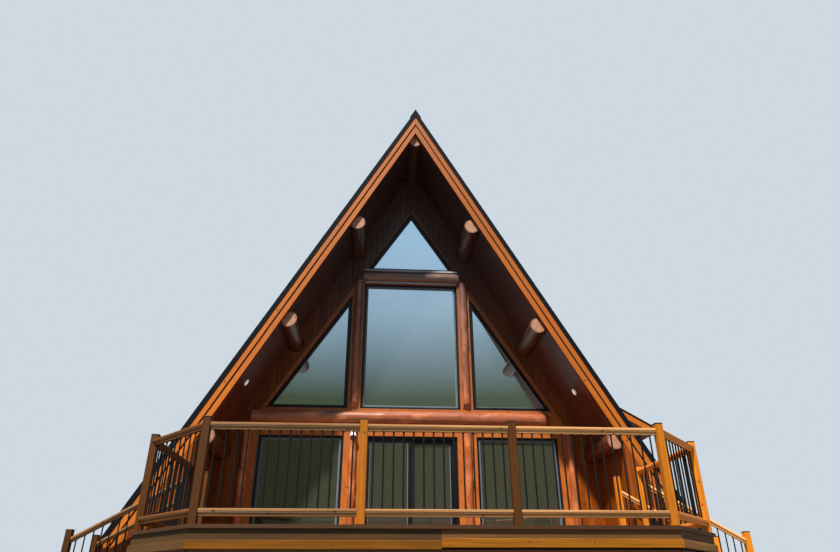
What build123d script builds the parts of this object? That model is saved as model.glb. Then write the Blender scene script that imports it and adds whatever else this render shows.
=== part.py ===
from build123d import *
from math import atan2, ceil, cos, hypot, radians, sin, tan
import os

os.makedirs("parts", exist_ok=True)

# Levels, measured from the ground
floor_height = 1050.0
eave_height = 300.0
storey_height = 2436.0

# Plan, measured along Y from the nosing of the deck to the back of the roof
open_deck = 3866.0
front_overhang = 1467.0
house_length = 8400.0
rear_overhang = 900.0

# The A of the roof, thicknesses square to the slope
roof_pitch = 61.2
floor_half_width = 5015.0
roofing_thickness = 40.0
slab_thickness = 260.0
barge_thickness = 52.0
barge_step = 20.0
barge_band = 143.0
roofing_lip = 12.0
drip_height = 85.0
cap_thickness = 22.0
cap_drop = 180.0
seam_spacing = 406.0
seam_width = 14.0
seam_height = 30.0
seam_gap = 40.0

# Logs that carry the roof, sawn flat along the soffit, placed by shares of the slope from the ridge down
log_diameter = 330.0
log_drop = 76.0
ridge_log_drop = 130.0
log_setback = 110.0
first_log_share = 0.304
log_share_step = 0.2415
log_hole_gap = 3.0

# Walls, floors and foundation
wall_thickness = 150.0
foundation_thickness = 250.0
main_floor_thickness = 250.0
upper_floor_thickness = 230.0
wing_width = 1285.0
wing_thickness = 60.0
wing_setback = 20.0

# Glazing of the front, heights above the floor
door_half_width = 930.0
door_height = 2080.0
lower_mullion_width = 386.0
side_opening_gap = 319.0
side_sill_height = 100.0
lintel_height = 120.0
middle_half_width = 1013.0
upper_sill_height = 2625.0
upper_mullion_width = 262.0
triangle_drop_height = 275.0
triangle_gap = 80.0
cross_bar_height = 352.0
top_half_width = 980.0
top_gap = 73.0
frame_width = 70.0
frame_depth = 90.0
frame_setback = 20.0
glass_thickness = 24.0

# Flat casing boards and half logs on the front wall
casing_thickness = 25.0
casing_drop_height = 1140.0
casing_gap = 250.0
casing_foot_height = 2370.0
lower_casing_gap = 198.0
beam_log_diameter = 277.0
beam_short_length = 330.0
cross_log_diameter = 240.0
cross_log_end_length = 37.0
post_log_diameter = 170.0

# Sliding door
jamb_width = 60.0
sill_height = 30.0
leaf_thickness = 35.0
leaf_overlap = 60.0
leaf_stile = 75.0
leaf_gap = 10.0
leaf_clearance = 6.0
pane_thickness = 20.0
roller_length = 80.0
roller_seat = 0.3
handle_length = 260.0
handle_height = 1000.0
handle_reach = 40.0

# Back wall windows and the shed dormer, heights above the floor
rear_window_width = 1300.0
rear_window_height = 1150.0
rear_window_sill = 900.0
rear_window_place = 2000.0
rear_upper_sill = 3300.0
dormer_pitch = 30.0
dormer_setback = 757.0
dormer_length = 3600.0
dormer_reach_width = 315.0
dormer_eave_height = 2555.0
dormer_slab = 130.0
dormer_roofing = 30.0
dormer_overhang = 250.0
dormer_wall_gap = 265.0
dormer_wall_thickness = 100.0
dormer_room_width = 1650.0
dormer_window_width = 950.0
dormer_window_height = 900.0
dormer_window_sill = 1250.0
dormer_window_spacing = 1450.0

# Deck, a step below the floor
deck_drop = 20.0
deck_board = 38.0
nosing = 30.0
fascia_height = 112.0
fascia_thickness = 38.0
fascia_proud = 10.0
beam_height = 89.0
beam_proud = 25.0
frame_height = 160.0
joist_width = 45.0
joist_spacing = 600.0
pier_size = 140.0
lattice_thickness = 20.0
lattice_frame = 70.0
lath_width = 38.0
lath_spacing = 170.0

# Guard round the deck
deck_side_gap = 1565.0
inner_post_place = 850.0
corner_width = 850.0
corner_depth = 950.0
post_size = 90.0
post_height = 1120.0
post_cap_size = 98.0
post_cap_thickness = 12.0
rail_top = 1067.0
rail_height = 76.0
rail_cap_height = 38.0
rail_cap_width = 89.0
rail_web_width = 45.0
low_rail_bottom = 83.0
baluster_diameter = 19.0
baluster_sides = 8
baluster_gap = 117.0

# Side stairs
stair_place = 2730.0
stair_width = 950.0
riser_count = 6
going = 305.0
tread_thickness = 45.0
stringer_thickness = 38.0
stringer_depth = 300.0
stair_rail_height = 880.0
stair_low_rail = 80.0
newel_rise = 115.0

# Places worked out from the sizes above
slope = tan(radians(roof_pitch))
roof_cos = cos(radians(roof_pitch))
roof_sin = sin(radians(roof_pitch))
roof_apex = floor_height + floor_half_width * slope
soffit = roofing_thickness + slab_thickness
slope_length = floor_half_width / roof_cos
log_radius = log_diameter / 2
log_depth = soffit + log_drop

overall_depth = open_deck + front_overhang + house_length + rear_overhang
deck_front = -overall_depth / 2
barge_face = deck_front + open_deck
front_wall_face = barge_face + front_overhang
rear_wall_face = front_wall_face + house_length
roof_end = rear_wall_face + rear_overhang
slab_start = barge_face + barge_thickness
slab_end = roof_end - roofing_lip - barge_thickness

foundation_top = floor_height - main_floor_thickness
deck_level = floor_height - deck_drop
wall_split = floor_height + door_height + lintel_height
fascia_out = post_size / 2 + fascia_proud
edge_out = fascia_out + nosing
guard_line = deck_front + edge_out
deck_side = floor_half_width - deck_side_gap
front_half_width = deck_side - corner_width
wing_inset = floor_half_width - wing_width
fascia_bottom = deck_level - deck_board - fascia_height
beam_bottom = fascia_bottom - beam_height
frame_bottom = deck_level - deck_board - frame_height
riser = deck_level / riser_count
stair_front = guard_line + stair_place
stair_back = stair_front + stair_width
stair_start = deck_side + fascia_out
stair_end = stair_start + (riser_count - 1) * going
newel_place = stair_end - post_size / 2

dormer_slope = tan(radians(dormer_pitch))
dormer_cos = cos(radians(dormer_pitch))
dormer_front = front_wall_face + dormer_setback
dormer_back = dormer_front + dormer_length
dormer_eave = floor_height + dormer_eave_height
dormer_eave_place = floor_half_width + dormer_reach_width
dormer_wall_place = floor_half_width - dormer_wall_gap
dormer_opening_outer = dormer_wall_place - dormer_wall_thickness
dormer_opening_inner = dormer_opening_outer - dormer_room_width
dormer_wall_start = dormer_front + dormer_overhang
dormer_wall_end = dormer_back - dormer_overhang
dormer_room_start = dormer_wall_start + dormer_wall_thickness
dormer_room_end = dormer_wall_end - dormer_wall_thickness


def upright(y):
    """Vertical plane across the building at the place y, seen from the front."""
    return Plane.XZ.offset(-y)


def roof_x(height, depth):
    """Half width at a height of the roof plane that lies a depth in from the outside."""
    return (roof_apex - depth / roof_cos - height) / slope


def roof_z(x, depth):
    """Height at a half width of the roof plane that lies a depth in from the outside."""
    return roof_apex - depth / roof_cos - x * slope


def roof_band(outer, inner, foot):
    """Outline of both roof slopes between two depths, cut level at the foot."""
    return [
        (-roof_x(foot, outer), foot),
        (0, roof_z(0, outer)),
        (roof_x(foot, outer), foot),
        (roof_x(foot, inner), foot),
        (0, roof_z(0, inner)),
        (-roof_x(foot, inner), foot),
    ]


def roof_side(side, outer, inner, foot):
    """Outline of one roof slope between two depths, plumb at the ridge and level at the foot."""
    return [
        (0, roof_z(0, outer)),
        (side * roof_x(foot, outer), foot),
        (side * roof_x(foot, inner), foot),
        (0, roof_z(0, inner)),
    ]


def log_place(distance):
    """Centre of a log that lies under the soffit, a distance down the slope."""
    x = distance * roof_cos - log_depth * roof_sin
    return (x, roof_apex - distance * roof_sin - log_depth * roof_cos)


def dormer_z(x, depth):
    """Height of the dormer roof plane that lies a depth in from its outside."""
    return dormer_eave + dormer_slope * (dormer_eave_place - x) - depth / dormer_cos


def dormer_meet(depth):
    """Half width where a plane of the dormer roof meets the outside of the main roof."""
    rise = roof_apex - dormer_eave - dormer_slope * dormer_eave_place + depth / dormer_cos
    return rise / (slope - dormer_slope)


def box_outline(left, right, bottom, top):
    """Corners of a rectangle."""
    return [(left, bottom), (right, bottom), (right, top), (left, top)]


def at_floor(points):
    """Lifts points given above the floor to their heights above the ground."""
    return [(x, floor_height + z) for x, z in points]


def mirrored(points):
    """The same outline on the other side of the middle."""
    return [(-x, z) for x, z in points]


# Casing and glazing of the front, downward from the peak of the soffit and inward from the slopes
casing_apex = roof_z(0, soffit) - floor_height - casing_drop_height
casing_foot = roof_x(floor_height + casing_foot_height, soffit) - casing_gap
lower_casing_half_width = roof_x(wall_split, soffit) - lower_casing_gap
casing_reach = casing_foot * (casing_apex - upper_sill_height) / (casing_apex - casing_foot_height)
triangle_inner = middle_half_width + upper_mullion_width
triangle_outer = casing_reach - triangle_gap
glazing_drop = casing_apex - top_gap - cross_bar_height - triangle_drop_height - upper_sill_height
glazing_slope = glazing_drop / (triangle_outer - triangle_inner + top_half_width)
top_sill = casing_apex - top_gap - top_half_width * glazing_slope
middle_head = top_sill - cross_bar_height
triangle_top = middle_head - triangle_drop_height
side_opening_inner = door_half_width + lower_mullion_width
side_opening_outer = lower_casing_half_width - side_opening_gap

# Outlines of the openings in the front wall
right_triangle = at_floor([
    (triangle_inner, upper_sill_height),
    (triangle_outer, upper_sill_height),
    (triangle_inner, triangle_top),
])
middle_window = at_floor(box_outline(-middle_half_width, middle_half_width, upper_sill_height, middle_head))
top_window = at_floor(
    [(-top_half_width, top_sill), (top_half_width, top_sill), (0, top_sill + top_half_width * glazing_slope)]
)
upper_openings = [right_triangle, mirrored(right_triangle), middle_window, top_window]
right_opening = at_floor(box_outline(side_opening_inner, side_opening_outer, side_sill_height, door_height))
lower_openings = [right_opening, mirrored(right_opening)]
doorway = at_floor(box_outline(-door_half_width, door_half_width, 0, door_height))

# Places of the logs, from the ridge down
ridge_place = (0, roof_z(0, soffit) - ridge_log_drop)
side_logs = [log_place(slope_length * (first_log_share + i * log_share_step)) for i in range(3)]
log_places = [ridge_place] + side_logs + [(-x, z) for x, z in side_logs]

# Notches for the logs in the end walls and the porch wings
with BuildSketch() as log_notches:
    with Locations(*log_places):
        Circle(log_radius + log_hole_gap)

# Sections of the logs, flat where the roof slabs lie on them
with BuildSketch() as under_roof:
    with BuildLine():
        Polyline((-roof_x(0, soffit), 0), (roof_x(0, soffit), 0), (0, roof_z(0, soffit)), close=True)
    make_face()
with BuildSketch() as side_log_sections:
    with Locations(*log_places[1:]):
        Circle(log_radius)
    add(under_roof.sketch, mode=Mode.INTERSECT)

# Foundation wall under the house
with BuildPart() as foundation_walls:
    foundation_half = roof_x(foundation_top, soffit)
    with BuildSketch():
        with Locations((0, (front_wall_face + rear_wall_face) / 2)):
            Rectangle(2 * foundation_half, house_length)
            Rectangle(
                2 * (foundation_half - foundation_thickness),
                house_length - 2 * foundation_thickness,
                mode=Mode.SUBTRACT,
            )
    extrude(amount=foundation_top)
foundation_walls.part.label = "foundation_walls"
export_step(foundation_walls.part, "parts/foundation_walls.step")

# Main floor between the roof slopes
with BuildPart() as main_floor:
    with BuildSketch(upright(front_wall_face)):
        with BuildLine():
            Polyline(
                (-roof_x(foundation_top, soffit), foundation_top),
                (roof_x(foundation_top, soffit), foundation_top),
                (roof_x(floor_height, soffit), floor_height),
                (-roof_x(floor_height, soffit), floor_height),
                close=True,
            )
        make_face()
    extrude(amount=-house_length)
main_floor.part.label = "main_floor"
export_step(main_floor.part, "parts/main_floor.step")

# Upper floor, level with the half log beam on the front
with BuildPart() as upper_floor:
    upper_top = floor_height + storey_height + upper_floor_thickness / 2
    upper_bottom = upper_top - upper_floor_thickness
    with BuildSketch(upright(front_wall_face + wall_thickness)):
        with BuildLine():
            Polyline(
                (-roof_x(upper_bottom, soffit), upper_bottom),
                (roof_x(upper_bottom, soffit), upper_bottom),
                (roof_x(upper_top, soffit), upper_top),
                (-roof_x(upper_top, soffit), upper_top),
                close=True,
            )
        make_face()
    extrude(amount=-(house_length - 2 * wall_thickness))
upper_floor.part.label = "upper_floor"
export_step(upper_floor.part, "parts/upper_floor.step")

# Front wall beside the doorway, one piece each side, with its window and its log notch
with BuildPart() as front_wall_right:
    with BuildSketch(upright(front_wall_face)):
        with BuildLine():
            Polyline(
                (door_half_width, floor_height),
                (roof_x(floor_height, soffit), floor_height),
                (roof_x(wall_split, soffit), wall_split),
                (door_half_width, wall_split),
                close=True,
            )
        make_face()
        with BuildLine():
            Polyline(*right_opening, close=True)
        make_face(mode=Mode.SUBTRACT)
        add(log_notches.sketch, mode=Mode.SUBTRACT)
    extrude(amount=-wall_thickness)
front_wall_right.part.label = "front_wall_right"
export_step(front_wall_right.part, "parts/front_wall_right.step")

with BuildPart() as front_wall_left:
    mirror(front_wall_right.part, about=Plane.YZ)
front_wall_left.part.label = "front_wall_left"
export_step(front_wall_left.part, "parts/front_wall_left.step")

# Lintel over the doorway
with BuildPart() as front_wall_lintel:
    with BuildSketch(upright(front_wall_face)):
        with BuildLine():
            Polyline(
                *box_outline(-door_half_width, door_half_width, floor_height + door_height, wall_split),
                close=True,
            )
        make_face()
    extrude(amount=-wall_thickness)
front_wall_lintel.part.label = "front_wall_lintel"
export_step(front_wall_lintel.part, "parts/front_wall_lintel.step")

# Front gable above the lintel, with the triangles and the tall window cut through
with BuildPart() as front_gable:
    with BuildSketch(upright(front_wall_face)):
        with BuildLine():
            Polyline(
                (-roof_x(wall_split, soffit), wall_split),
                (roof_x(wall_split, soffit), wall_split),
                (0, roof_z(0, soffit)),
                close=True,
            )
        make_face()
        for outline in upper_openings:
            with BuildLine():
                Polyline(*outline, close=True)
            make_face(mode=Mode.SUBTRACT)
        add(log_notches.sketch, mode=Mode.SUBTRACT)
    extrude(amount=-wall_thickness)
front_gable.part.label = "front_gable"
export_step(front_gable.part, "parts/front_gable.step")

# Back wall in one piece, with three plain windows
rear_windows = [
    (-rear_window_place, floor_height + rear_window_sill + rear_window_height / 2),
    (rear_window_place, floor_height + rear_window_sill + rear_window_height / 2),
    (0, floor_height + rear_upper_sill + rear_window_height / 2),
]
with BuildPart() as rear_wall:
    with BuildSketch(upright(rear_wall_face - wall_thickness)):
        with BuildLine():
            Polyline(
                (-roof_x(floor_height, soffit), floor_height),
                (roof_x(floor_height, soffit), floor_height),
                (0, roof_z(0, soffit)),
                close=True,
            )
        make_face()
        with Locations(*rear_windows):
            Rectangle(rear_window_width, rear_window_height, mode=Mode.SUBTRACT)
        add(log_notches.sketch, mode=Mode.SUBTRACT)
    extrude(amount=-wall_thickness)
rear_wall.part.label = "rear_wall"
export_step(rear_wall.part, "parts/rear_wall.step")

# Roof slabs, the right one open under the dormer
with BuildPart() as roof_left:
    with BuildSketch(upright(slab_start)):
        with BuildLine():
            Polyline(*roof_side(-1, roofing_thickness, soffit, eave_height), close=True)
        make_face()
    extrude(amount=-(slab_end - slab_start))
roof_left.part.label = "roof_left"
export_step(roof_left.part, "parts/roof_left.step")

dormer_room_middle = (dormer_room_start + dormer_room_end) / 2
dormer_room_length = dormer_room_end - dormer_room_start
with BuildPart() as roof_right:
    with BuildSketch(upright(slab_start)):
        with BuildLine():
            Polyline(*roof_side(1, roofing_thickness, soffit, eave_height), close=True)
        make_face()
    extrude(amount=-(slab_end - slab_start))
    with BuildSketch():
        with Locations(((dormer_opening_inner + dormer_opening_outer) / 2, dormer_room_middle)):
            Rectangle(dormer_opening_outer - dormer_opening_inner, dormer_room_length)
    extrude(amount=roof_apex, mode=Mode.SUBTRACT)
roof_right.part.label = "roof_right"
export_step(roof_right.part, "parts/roof_right.step")

# Standing seams of the roofing, those in line with the dormer broken off above and below it
roof_length = roof_end - barge_face + roofing_lip
seam_count = int((roof_length - seam_width) / seam_spacing) + 1
seam_first = barge_face - roofing_lip + (roof_length - (seam_count - 1) * seam_spacing - seam_width) / 2
seam_places = [seam_first + i * seam_spacing for i in range(seam_count)]
dormer_reach = roofing_lip + seam_gap
broken_seams = [y for y in seam_places if dormer_front - dormer_reach < y < dormer_back + dormer_reach]
seam_top = roof_apex - cap_drop
seam_foot = eave_height - roofing_thickness
seam_runs = [
    (-1, seam_top, seam_foot, seam_places),
    (1, seam_top, seam_foot, [y for y in seam_places if y not in broken_seams]),
    (1, seam_top, roof_z(dormer_meet(0) - seam_gap, 0), broken_seams),
    (1, roof_z(dormer_wall_place + seam_gap, 0), seam_foot, broken_seams),
]
with BuildPart() as roof_seams:
    for side, top, foot, places in seam_runs:
        with BuildSketch(*[upright(y) for y in places]):
            with BuildLine():
                Polyline(
                    (side * roof_x(top, 0), top),
                    (side * roof_x(foot, 0), foot),
                    (side * roof_x(foot, -seam_height), foot),
                    (side * roof_x(top, -seam_height), top),
                    close=True,
                )
            make_face()
        extrude(amount=-seam_width)

# Roofing sheets on both slopes and on the dormer, with a drip edge turned down over the barge boards
sheet_gap = 2.0
dormer_sheet_length = dormer_length + 2 * roofing_lip
dormer_seam_count = int((dormer_sheet_length - seam_width) / seam_spacing) + 1
dormer_seam_margin = (dormer_sheet_length - (dormer_seam_count - 1) * seam_spacing - seam_width) / 2
with BuildPart() as roofing:
    with BuildSketch(upright(barge_face - roofing_lip)):
        with BuildLine():
            Polyline(*roof_side(1, 0, roofing_thickness, seam_foot), close=True)
        make_face()
        with BuildLine():
            Polyline(*roof_side(-1, 0, roofing_thickness, seam_foot), close=True)
        make_face()
        with Locations((0, roof_apex)):
            Rectangle(sheet_gap, 4 * soffit, mode=Mode.SUBTRACT)
    extrude(amount=-roof_length)
    with BuildSketch(upright(barge_face - roofing_lip), upright(roof_end - roofing_lip)):
        with BuildLine():
            Polyline(*roof_band(0, drip_height, seam_foot), close=True)
        make_face()
    extrude(amount=-roofing_lip)
    with BuildSketch():
        with Locations(((dormer_opening_inner + dormer_opening_outer) / 2, dormer_room_middle)):
            Rectangle(dormer_opening_outer - dormer_opening_inner, dormer_room_length)
    extrude(amount=roof_apex, mode=Mode.SUBTRACT)
    with BuildSketch(upright(dormer_front - roofing_lip)):
        sheet_top = dormer_meet(0) + sheet_gap
        sheet_foot = dormer_meet(dormer_roofing) + sheet_gap
        sheet_eave = dormer_eave_place + roofing_lip
        with BuildLine():
            Polyline(
                (sheet_top, dormer_z(sheet_top, 0)),
                (sheet_eave, dormer_z(sheet_eave, 0)),
                (sheet_eave, dormer_z(sheet_eave, dormer_roofing)),
                (sheet_foot, dormer_z(sheet_foot, dormer_roofing)),
                close=True,
            )
        make_face()
    extrude(amount=-dormer_sheet_length)
    dormer_seam_start = dormer_front - roofing_lip + dormer_seam_margin
    with BuildSketch(*[upright(dormer_seam_start + i * seam_spacing) for i in range(dormer_seam_count)]):
        with BuildLine():
            Polyline(
                (sheet_top + seam_gap, dormer_z(sheet_top + seam_gap, 0)),
                (sheet_eave, dormer_z(sheet_eave, 0)),
                (sheet_eave, dormer_z(sheet_eave, -seam_height)),
                (sheet_top + seam_gap, dormer_z(sheet_top + seam_gap, -seam_height)),
                close=True,
            )
        make_face()
    extrude(amount=-seam_width)
    add(roof_seams.part)
roofing.part.label = "roofing"
export_step(roofing.part, "parts/roofing.step")

# Cap over the ridge
with BuildPart() as ridge_cap:
    with BuildSketch(upright(barge_face - roofing_lip)):
        with BuildLine():
            Polyline(*roof_band(-cap_thickness, 0, roof_apex - cap_drop), close=True)
        make_face()
    extrude(amount=-roof_length)
ridge_cap.part.label = "ridge_cap"
export_step(ridge_cap.part, "parts/ridge_cap.step")

# Barge boards in two bands, the lower one set back a little, at the front and at the back
with BuildPart() as barge_boards:
    band_edge = roofing_thickness + barge_band
    with BuildSketch(upright(barge_face)):
        with BuildLine():
            Polyline(*roof_band(roofing_thickness, band_edge, eave_height), close=True)
        make_face()
    extrude(amount=-barge_thickness)
    with BuildSketch(upright(barge_face + barge_step)):
        with BuildLine():
            Polyline(*roof_band(band_edge, soffit, eave_height), close=True)
        make_face()
    extrude(amount=-(barge_thickness - barge_step))
    with BuildSketch(upright(slab_end)):
        with BuildLine():
            Polyline(*roof_band(roofing_thickness, band_edge, eave_height), close=True)
        make_face()
    extrude(amount=-barge_thickness)
    with BuildSketch(upright(slab_end)):
        with BuildLine():
            Polyline(*roof_band(band_edge, soffit, eave_height), close=True)
        make_face()
    extrude(amount=-(barge_thickness - barge_step))
barge_boards.part.label = "barge_boards"
export_step(barge_boards.part, "parts/barge_boards.step")

# Logs from behind the front barge boards to behind the back ones
log_start = barge_face + log_setback
log_length = slab_end + barge_thickness - log_setback - log_start
with BuildPart() as ridge_log:
    with BuildSketch(upright(log_start)):
        with Locations(ridge_place):
            Circle(log_radius)
        add(under_roof.sketch, mode=Mode.INTERSECT)
    extrude(amount=-log_length)
ridge_log.part.label = "ridge_log"
export_step(ridge_log.part, "parts/ridge_log.step")

with BuildPart() as purlin_logs:
    with BuildSketch(upright(log_start)):
        add(side_log_sections.sketch)
    extrude(amount=-log_length)
    with BuildSketch():
        with Locations(((dormer_opening_inner + dormer_opening_outer) / 2, dormer_room_middle)):
            Rectangle(dormer_opening_outer - dormer_opening_inner, dormer_room_length)
    extrude(amount=roof_apex, mode=Mode.SUBTRACT)
purlin_logs.part.label = "purlin_logs"
export_step(purlin_logs.part, "parts/purlin_logs.step")

# Boarded wings that close the foot of the roof beside the porch, from the ground to the soffit
with BuildPart() as porch_wings:
    with BuildSketch(upright(barge_face + wing_setback)):
        with BuildLine():
            Polyline(
                (wing_inset, 0),
                (roof_x(0, soffit), 0),
                (wing_inset, roof_z(wing_inset, soffit)),
                close=True,
            )
        make_face()
    extrude(amount=-wing_thickness)
    with BuildSketch(upright(barge_face + wing_setback)):
        with BuildLine():
            Polyline(
                (wing_inset, 0),
                (wing_inset + wing_thickness, 0),
                (wing_inset + wing_thickness, roof_z(wing_inset + wing_thickness, soffit)),
                (wing_inset, roof_z(wing_inset, soffit)),
                close=True,
            )
        make_face()
        add(log_notches.sketch, mode=Mode.SUBTRACT)
    extrude(amount=-(front_overhang - wing_setback))
    mirror(about=Plane.YZ)
porch_wings.part.label = "porch_wings"
export_step(porch_wings.part, "parts/porch_wings.step")

# Flat casing boards between and around the openings of the front
with BuildPart() as casing_boards:
    with BuildSketch(upright(front_wall_face)):
        with BuildLine():
            Polyline(
                (-casing_foot, floor_height + casing_foot_height),
                (casing_foot, floor_height + casing_foot_height),
                (0, floor_height + casing_apex),
                close=True,
            )
        make_face()
        with Locations((0, floor_height + casing_foot_height / 2)):
            Rectangle(2 * lower_casing_half_width, casing_foot_height)
        for outline in upper_openings + lower_openings + [doorway]:
            with BuildLine():
                Polyline(*outline, close=True)
            make_face(mode=Mode.SUBTRACT)
    extrude(amount=casing_thickness)
casing_boards.part.label = "casing_boards"
export_step(casing_boards.part, "parts/casing_boards.step")

# Half logs laid flat against the casing: the storey beam and the bar over the tall window
casing_face = front_wall_face - casing_thickness
beam_radius = beam_log_diameter / 2
beam_level = floor_height + storey_height
cross_level = floor_height + (middle_head + top_sill) / 2
cross_half_length = middle_half_width + cross_log_end_length
with BuildPart() as half_log_beams:
    with BuildSketch(Plane.YZ.offset(-casing_foot)):
        with Locations((casing_face, beam_level)):
            Circle(beam_radius)
    extrude(amount=2 * casing_foot - beam_short_length)
    fillet(half_log_beams.edges().filter_by(GeomType.CIRCLE).sort_by(Axis.X)[-1], beam_radius * 0.6)
    with BuildSketch(Plane.YZ.offset(-cross_half_length)):
        with Locations((casing_face, cross_level)):
            Circle(cross_log_diameter / 2)
    extrude(amount=2 * cross_half_length)
    split(bisect_by=Plane.XZ.offset(-casing_face), keep=Keep.TOP)
half_log_beams.part.label = "half_log_beams"
export_step(half_log_beams.part, "parts/half_log_beams.step")

# Half log posts: a pair between the upper windows, two pairs beside the lower openings
post_radius = post_log_diameter / 2
outer_post_log_place = lower_casing_half_width - post_radius
upper_post_place = (middle_half_width + triangle_inner) / 2
lower_post_place = (door_half_width + side_opening_inner) / 2
upper_post_bottom = beam_level + beam_radius
upper_post_top = cross_level - cross_log_diameter / 2
with BuildPart() as half_log_posts:
    with BuildSketch(Plane.XY.offset(upper_post_bottom)):
        with Locations((-upper_post_place, casing_face), (upper_post_place, casing_face)):
            Circle(post_radius)
    extrude(amount=upper_post_top - upper_post_bottom)
    with BuildSketch(Plane.XY.offset(floor_height)):
        with Locations(
            (-lower_post_place, casing_face),
            (lower_post_place, casing_face),
            (-outer_post_log_place, casing_face),
            (outer_post_log_place, casing_face),
        ):
            Circle(post_radius)
    extrude(amount=beam_level - beam_radius - floor_height)
    split(bisect_by=Plane.XZ.offset(-casing_face), keep=Keep.TOP)
half_log_posts.part.label = "half_log_posts"
export_step(half_log_posts.part, "parts/half_log_posts.step")

# Black window frames of the front and their glass
with BuildPart() as front_window_frames:
    with BuildSketch(upright(front_wall_face + frame_setback)):
        for outline in upper_openings + lower_openings:
            with BuildLine():
                Polyline(*outline, close=True)
            make_face()
        offset(amount=-frame_width, kind=Kind.INTERSECTION, mode=Mode.SUBTRACT)
    extrude(amount=-frame_depth)
front_window_frames.part.label = "front_window_frames"
export_step(front_window_frames.part, "parts/front_window_frames.step")

glass_setback = frame_setback + (frame_depth - glass_thickness) / 2
with BuildPart() as front_window_glass:
    with BuildSketch(upright(front_wall_face + glass_setback)):
        for outline in upper_openings + lower_openings:
            with BuildLine():
                Polyline(*outline, close=True)
            make_face()
        offset(amount=-frame_width, kind=Kind.INTERSECTION, mode=Mode.REPLACE)
    extrude(amount=-glass_thickness)
front_window_glass.part.label = "front_window_glass"
export_step(front_window_glass.part, "parts/front_window_glass.step")

# Frame of the sliding door, with its sill
door_top = floor_height + door_height
clear_half = door_half_width - jamb_width
clear_top = door_top - jamb_width
sill_top = floor_height + sill_height
door_frame_depth = 2 * leaf_thickness + 3 * leaf_gap
with BuildPart() as door_frame:
    with BuildSketch(upright(front_wall_face + frame_setback)):
        with BuildLine():
            Polyline(*doorway, close=True)
        make_face()
        with BuildLine():
            Polyline(*box_outline(-clear_half, clear_half, sill_top, clear_top), close=True)
        make_face(mode=Mode.SUBTRACT)
    extrude(amount=-door_frame_depth)
door_frame.part.label = "door_frame"
export_step(door_frame.part, "parts/door_frame.step")

# Fixed leaf on the left, in the front track
leaf_width = clear_half + leaf_overlap / 2
fixed_track = front_wall_face + frame_setback + leaf_gap
sliding_track = fixed_track + leaf_thickness + leaf_gap
with BuildPart() as fixed_leaf:
    with BuildSketch(upright(fixed_track)):
        with BuildLine():
            Polyline(*box_outline(-clear_half, leaf_width - clear_half, sill_top, clear_top), close=True)
        make_face()
        offset(amount=-leaf_stile, kind=Kind.INTERSECTION, mode=Mode.SUBTRACT)
    extrude(amount=-leaf_thickness)
fixed_leaf.part.label = "fixed_leaf"
export_step(fixed_leaf.part, "parts/fixed_leaf.step")

pane_inset = (leaf_thickness - pane_thickness) / 2
with BuildPart() as fixed_leaf_glass:
    with BuildSketch(upright(fixed_track + pane_inset)):
        with BuildLine():
            Polyline(*box_outline(-clear_half, leaf_width - clear_half, sill_top, clear_top), close=True)
        make_face()
        offset(amount=-leaf_stile, kind=Kind.INTERSECTION, mode=Mode.REPLACE)
    extrude(amount=-pane_thickness)
fixed_leaf_glass.part.label = "fixed_leaf_glass"
export_step(fixed_leaf_glass.part, "parts/fixed_leaf_glass.step")

# Sliding leaf on the right, in the inner track, on two rollers
sliding_left = clear_half - leaf_clearance - leaf_width
sliding_right = clear_half - leaf_clearance
sliding_bottom = sill_top + leaf_clearance
sliding_top = clear_top - leaf_clearance
with BuildPart() as sliding_leaf:
    with BuildSketch(upright(sliding_track)):
        with BuildLine():
            Polyline(*box_outline(sliding_left, sliding_right, sliding_bottom, sliding_top), close=True)
        make_face()
        offset(amount=-leaf_stile, kind=Kind.INTERSECTION, mode=Mode.SUBTRACT)
        roller_height = leaf_clearance - roller_seat
        with Locations(
            (sliding_left + roller_length, sliding_bottom - roller_height / 2),
            (sliding_right - roller_length, sliding_bottom - roller_height / 2),
        ):
            Rectangle(roller_length, roller_height)
    extrude(amount=-leaf_thickness)
sliding_leaf.part.label = "sliding_leaf"
export_step(sliding_leaf.part, "parts/sliding_leaf.step")

with BuildPart() as sliding_leaf_glass:
    with BuildSketch(upright(sliding_track + pane_inset)):
        with BuildLine():
            Polyline(*box_outline(sliding_left, sliding_right, sliding_bottom, sliding_top), close=True)
        make_face()
        offset(amount=-leaf_stile, kind=Kind.INTERSECTION, mode=Mode.REPLACE)
    extrude(amount=-pane_thickness)
sliding_leaf_glass.part.label = "sliding_leaf_glass"
export_step(sliding_leaf_glass.part, "parts/sliding_leaf_glass.step")

# Pull handle on the outer stile of the sliding leaf
grip = 14.0
with BuildPart() as door_handle:
    with BuildSketch(Plane.YZ.offset(sliding_right - leaf_stile / 2 - grip / 2)):
        with Locations((sliding_track - handle_reach / 2, floor_height + handle_height)):
            Rectangle(handle_reach, handle_length)
        with Locations((sliding_track - (handle_reach - grip) / 2, floor_height + handle_height)):
            Rectangle(handle_reach - grip, handle_length - 2 * grip, mode=Mode.SUBTRACT)
    extrude(amount=grip)
    fillet(door_handle.edges().filter_by(Axis.X).sort_by(Axis.Y)[0:2], grip / 2)
door_handle.part.label = "door_handle"
export_step(door_handle.part, "parts/door_handle.step")

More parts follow.
